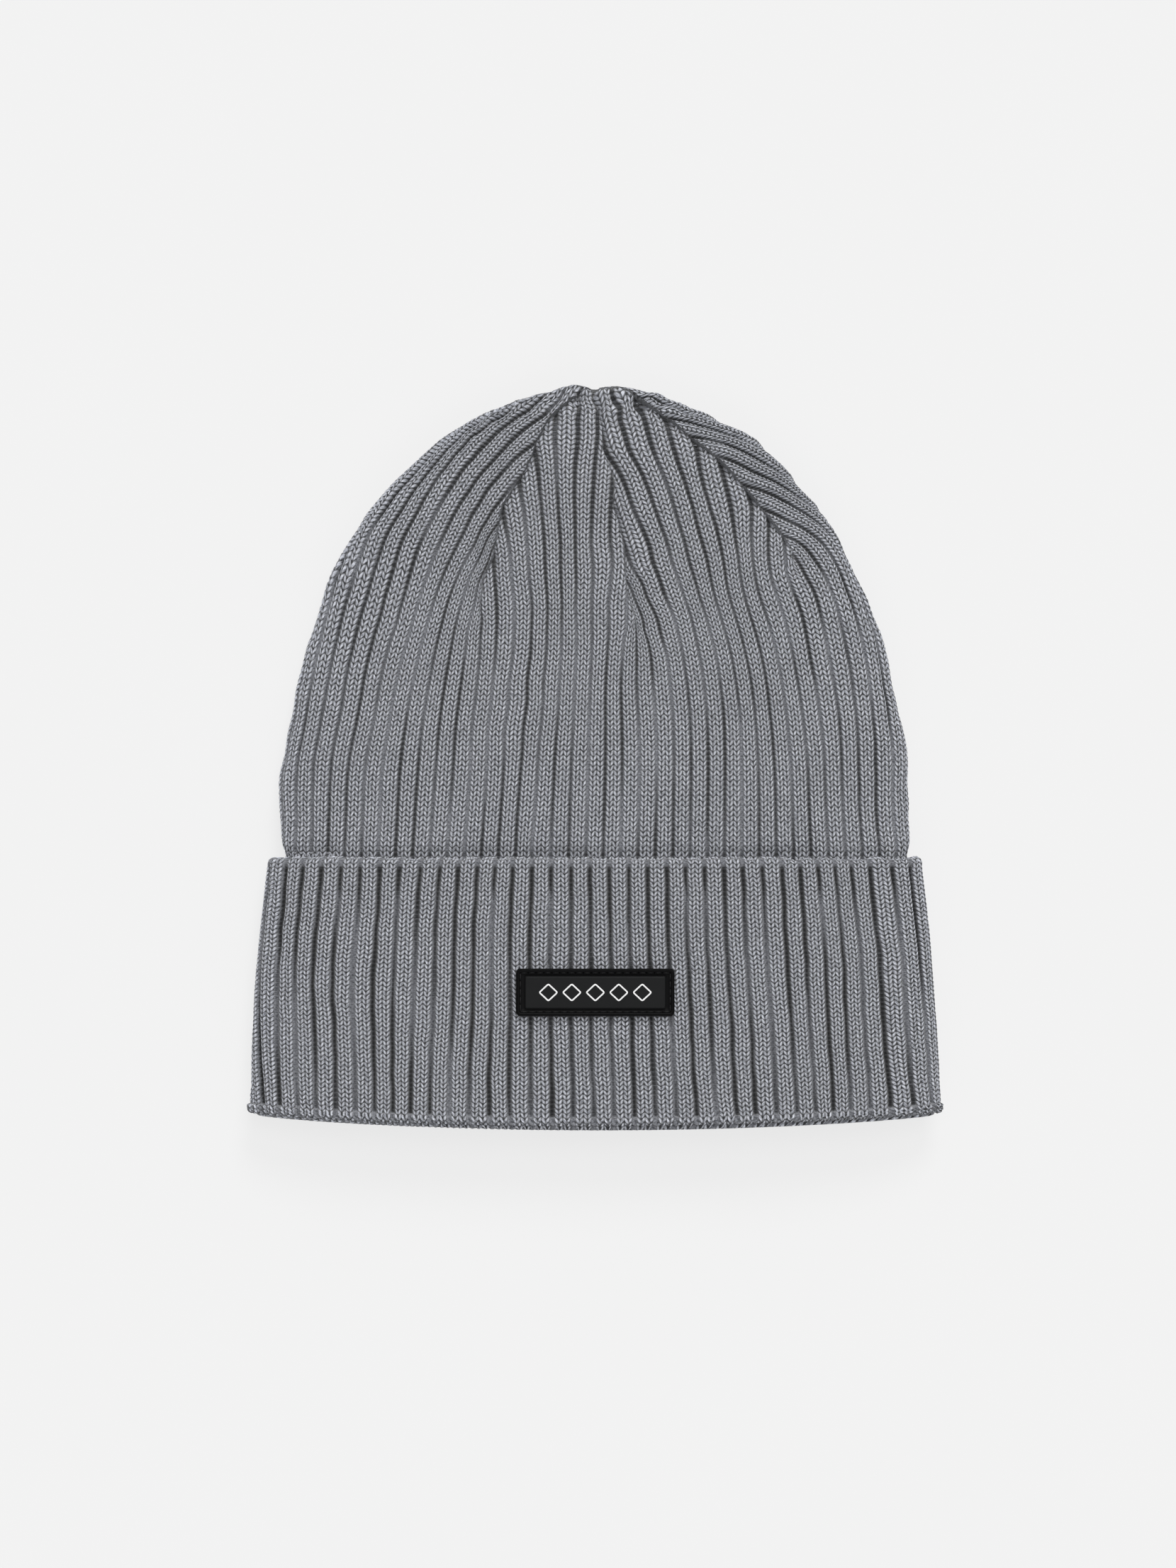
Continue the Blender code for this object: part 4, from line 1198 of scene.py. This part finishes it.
def stitch_rings(start, end, z):
    """One stitch from start to end on a surface at z: it arches a little and dips in at both ends."""
    shares = np.linspace(0, 1, 7)
    path = [(start[0] + (end[0] - start[0]) * t, start[1] + (end[1] - start[1]) * t,
             z + THREAD_RADIUS * (1.3 * math.sin(math.pi * t) - 0.6)) for t in shares]
    return sweep(path, [THREAD_RADIUS * (0.55 + 0.45 * math.sin(math.pi * t) ** 0.5) for t in shares])


black_thread = thread_finish("black_polyester_thread", "#0B0B0C", "#1E1E20", 900.0)
sewing = []
line_x, line_y = SEWING_LINE
edges = [((-line_x, -line_y), (line_x, -line_y)), ((line_x, -line_y), (line_x, line_y)),
         ((line_x, line_y), (-line_x, line_y)), ((-line_x, line_y), (-line_x, -line_y))]
for (x0, y0), (x1, y1) in edges:
    run = math.hypot(x1 - x0, y1 - y0)
    stitches = round(run / (STITCH_LENGTH + STITCH_GAP))
    for i in range(stitches):
        begin, finish = (i + 0.09) / stitches, (i + 0.91) / stitches
        sewing.append(stitch_rings(
            (x0 + (x1 - x0) * begin, PATCH_UP + y0 + (y1 - y0) * begin),
            (x0 + (x1 - x0) * finish, PATCH_UP + y0 + (y1 - y0) * finish), PATCH_FLOOR + THREAD_RADIUS))
patch_stitching = joined("patch_sewing_thread", sewing, black_thread)
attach(patch_stitching, "patch")
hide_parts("patch_stitching")


# The patch's inlay. A row of five lozenges drawn in line, of white rubber poured into the mould
# before the black, so each line stands a hair proud of the panel with a soft round top.
white_rubber = rubber_finish("white_inlay_rubber", ("#F2F2F2", "#FAFAFA"), 0.5, 0.2, 0.3)
LOZENGE_LINE = 0.5
LOZENGE_CORNER = 0.5
for number in range(1, 6):
    low, high = (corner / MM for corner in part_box(f"patch_motif_{number}"))
    middle_x, middle_y = (low.x + high.x) / 2, (low.y + high.y) / 2 - HAT_BOTTOM / MM
    reach = ((high.x - low.x - LOZENGE_LINE) / 2, (high.y - low.y - LOZENGE_LINE) / 2)
    tips = [(reach[0], 0), (0, reach[1]), (-reach[0], 0), (0, -reach[1])]
    path = []
    for i, tip in enumerate(tips):
        before, after = tips[i - 1], tips[(i + 1) % 4]
        for t in np.linspace(0, 1, 7):
            cut = LOZENGE_CORNER / math.hypot(*reach)
            a = [tip[k] + (before[k] - tip[k]) * cut for k in (0, 1)]
            b = [tip[k] + (after[k] - tip[k]) * cut for k in (0, 1)]
            curve = [a[k] * (1 - t) ** 2 + 2 * tip[k] * t * (1 - t) + b[k] * t ** 2 for k in (0, 1)]
            path.append((middle_x + curve[0], middle_y + curve[1], panel_high.z + 0.04))
    around = sweep([path[-1]] + path + [path[0]], LOZENGE_LINE / 2, sides=10, flat=0.8)[1:-1]
    lozenge = solid_from_rings(f"patch_lozenge_{number}", around, white_rubber, capped=False, crease=70)
    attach(lozenge, "patch")
    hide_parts(f"patch_motif_{number}")


# The back seam. The knitted panel's two edges are joined by a flat linked seam on the inside of
# the back: two rows of small loops with a shallow furrow between them.
SEAM_HALF = 2.0
SEAM_RAISE = 0.75
SEAM_LOOP = 1.7
SEAM_ENDS = (5.0, 198.0)
seam_rows = np.arange(*SEAM_ENDS, 0.5)
seam_across = np.linspace(-SEAM_HALF, SEAM_HALF, 17)
seam_floor = np.array([half_ring(*lining_section(h)[1:])[1][-1] for h in seam_rows])
seam_share = np.abs(seam_across / SEAM_HALF)
seam_form = (1 - seam_share ** 4) * (0.72 + 0.28 * np.sin(math.pi * seam_share) ** 2)
seam_course = np.repeat(seam_rows[:, None] / SEAM_LOOP, len(seam_across), 1)
seam_loops = 0.5 + 0.5 * np.cos(2 * math.pi * (seam_course + 0.5 * seam_share))
seam_raise = SEAM_RAISE * (seam_form * (0.75 + 0.25 * seam_loops)) - 0.12
seam_points = np.zeros((len(seam_rows), len(seam_across), 3))
seam_points[:, :, 0] = seam_across
seam_points[:, :, 1] = seam_rows[:, None]
seam_points[:, :, 2] = seam_floor[:, None] + seam_raise
seam_wale = np.repeat((seam_across / SEAM_HALF * 0.42)[None], len(seam_rows), 0) + 0.5
# The seam's sides get the yarn's painted groove shade, as its form falls away.
seam_relief = np.repeat(seam_form[None], len(seam_rows), 0)
seam_knit = np.stack([seam_wale, seam_course, seam_relief], axis=2)
back_seam = knit_sheet("linked_seam", seam_points, facing(seam_points), seam_knit, body_yarn)
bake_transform(back_seam)
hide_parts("back_seam")


# The gathering yarn's knot. The yarn drawn through the crown's last row is tied off inside, and
# its two short ends are left.
KNOT_YARN = 0.5
knot_low, knot_high = (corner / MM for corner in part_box("gather_knot"))
knot_x, knot_y, knot_z = (knot_low + knot_high) / 2
knot_y -= HAT_BOTTOM / MM
# An overhand knot, which is a trefoil with its two ends led out to the sides.
knot_path = [(knot_x - 2.6, knot_y + 0.9, knot_z - 0.6), (knot_x - 1.5, knot_y - 0.2, knot_z)]
for t in np.linspace(0, 2 * math.pi, 61)[2:-2]:
    knot_path.append((
        knot_x + 0.62 * (math.sin(t) + 2 * math.sin(2 * t)),
        knot_y + 0.5 * (math.cos(t) - 2 * math.cos(2 * t)),
        knot_z - 0.75 * math.sin(3 * t)))
knot_path += [(knot_x + 1.5, knot_y - 0.4, knot_z), (knot_x + 2.6, knot_y + 0.6, knot_z - 0.6)]
knot_yarn = thread_finish("plied_grey_yarn", "#5E6067", "#C6C8CD", 420.0)
gather_knot = joined("gathering_yarn_knot", [sweep(knot_path, KNOT_YARN)], knot_yarn)
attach(gather_knot, "crown")
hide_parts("gather_knot")


# The care label. Blank white satin, cut 24 by 36 mm, sewn down along its upper edge inside the
# back of the band, with its lower edge left free to lift a little.
LABEL_SIZE = (24.0, 36.0)
LABEL_TOP = 80.0
LABEL_LIFT = 0.9
label_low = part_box("care_label")[0] / MM
label_across = np.linspace(-LABEL_SIZE[0] / 2, LABEL_SIZE[0] / 2, 25)
label_run = np.linspace(0, LABEL_SIZE[1], 37)
label_lift = LABEL_LIFT * (label_run[::-1] / LABEL_SIZE[1])[:, None] ** 3
label_waves = 0.12 * wobble(label_across[None], label_run[:, None], 18, 31)
label_points = np.zeros((len(label_run), len(label_across), 3))
label_points[:, :, 0] = label_across
label_points[:, :, 1] = LABEL_TOP - LABEL_SIZE[1] + label_run[:, None]
label_points[:, :, 2] = label_low.z + 0.1 + label_lift + label_waves
satin, satin_nodes, satin_shader = new_finish(
    "white_satin_ribbon", Roughness=0.34, Anisotropic=0.5, Sheen_Weight=0.2)
satin_place = add_node(satin_nodes, "ShaderNodeTexCoord")
satin_threads = add_node(
    satin_nodes, "ShaderNodeTexWave", {"wave_type": "BANDS", "bands_direction": "X"},
    {"Vector": satin_place.outputs["Object"], "Scale": 700.0, "Distortion": 0.4})
satin_tint = add_node(
    satin_nodes, "ShaderNodeMix", {"data_type": "RGBA"},
    {0: satin_threads.outputs["Fac"], 6: colour("#E4E4E2"), 7: colour("#F3F3F1")})
satin_nodes.links.new(satin_tint.outputs[2], satin_shader.inputs["Base Color"])
label_knit = np.zeros(label_points.shape)
care_label = knit_sheet("satin_care_label", label_points, facing(label_points), label_knit, satin)
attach(care_label, "crown")
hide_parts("care_label")


# The label's stitches. White thread, in one row of short stitches along the label's upper edge.
row_low, row_high = (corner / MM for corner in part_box("label_stitching"))
label_thread = thread_finish("white_polyester_thread", "#C9C9C6", "#EFEFED", 900.0)
row_y = (row_low.y + row_high.y) / 2 - HAT_BOTTOM / MM
ROW_STITCHES = 9
row_stitches = []
for i in range(ROW_STITCHES):
    x0 = row_low.x + (row_high.x - row_low.x) * (i + 0.1) / ROW_STITCHES
    x1 = row_low.x + (row_high.x - row_low.x) * (i + 0.9) / ROW_STITCHES
    row_stitches.append(stitch_rings((x0, row_y), (x1, row_y), label_low.z + 0.3))
label_stitching = joined("label_sewing_thread", row_stitches, label_thread)
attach(label_stitching, "crown")
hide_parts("label_stitching")
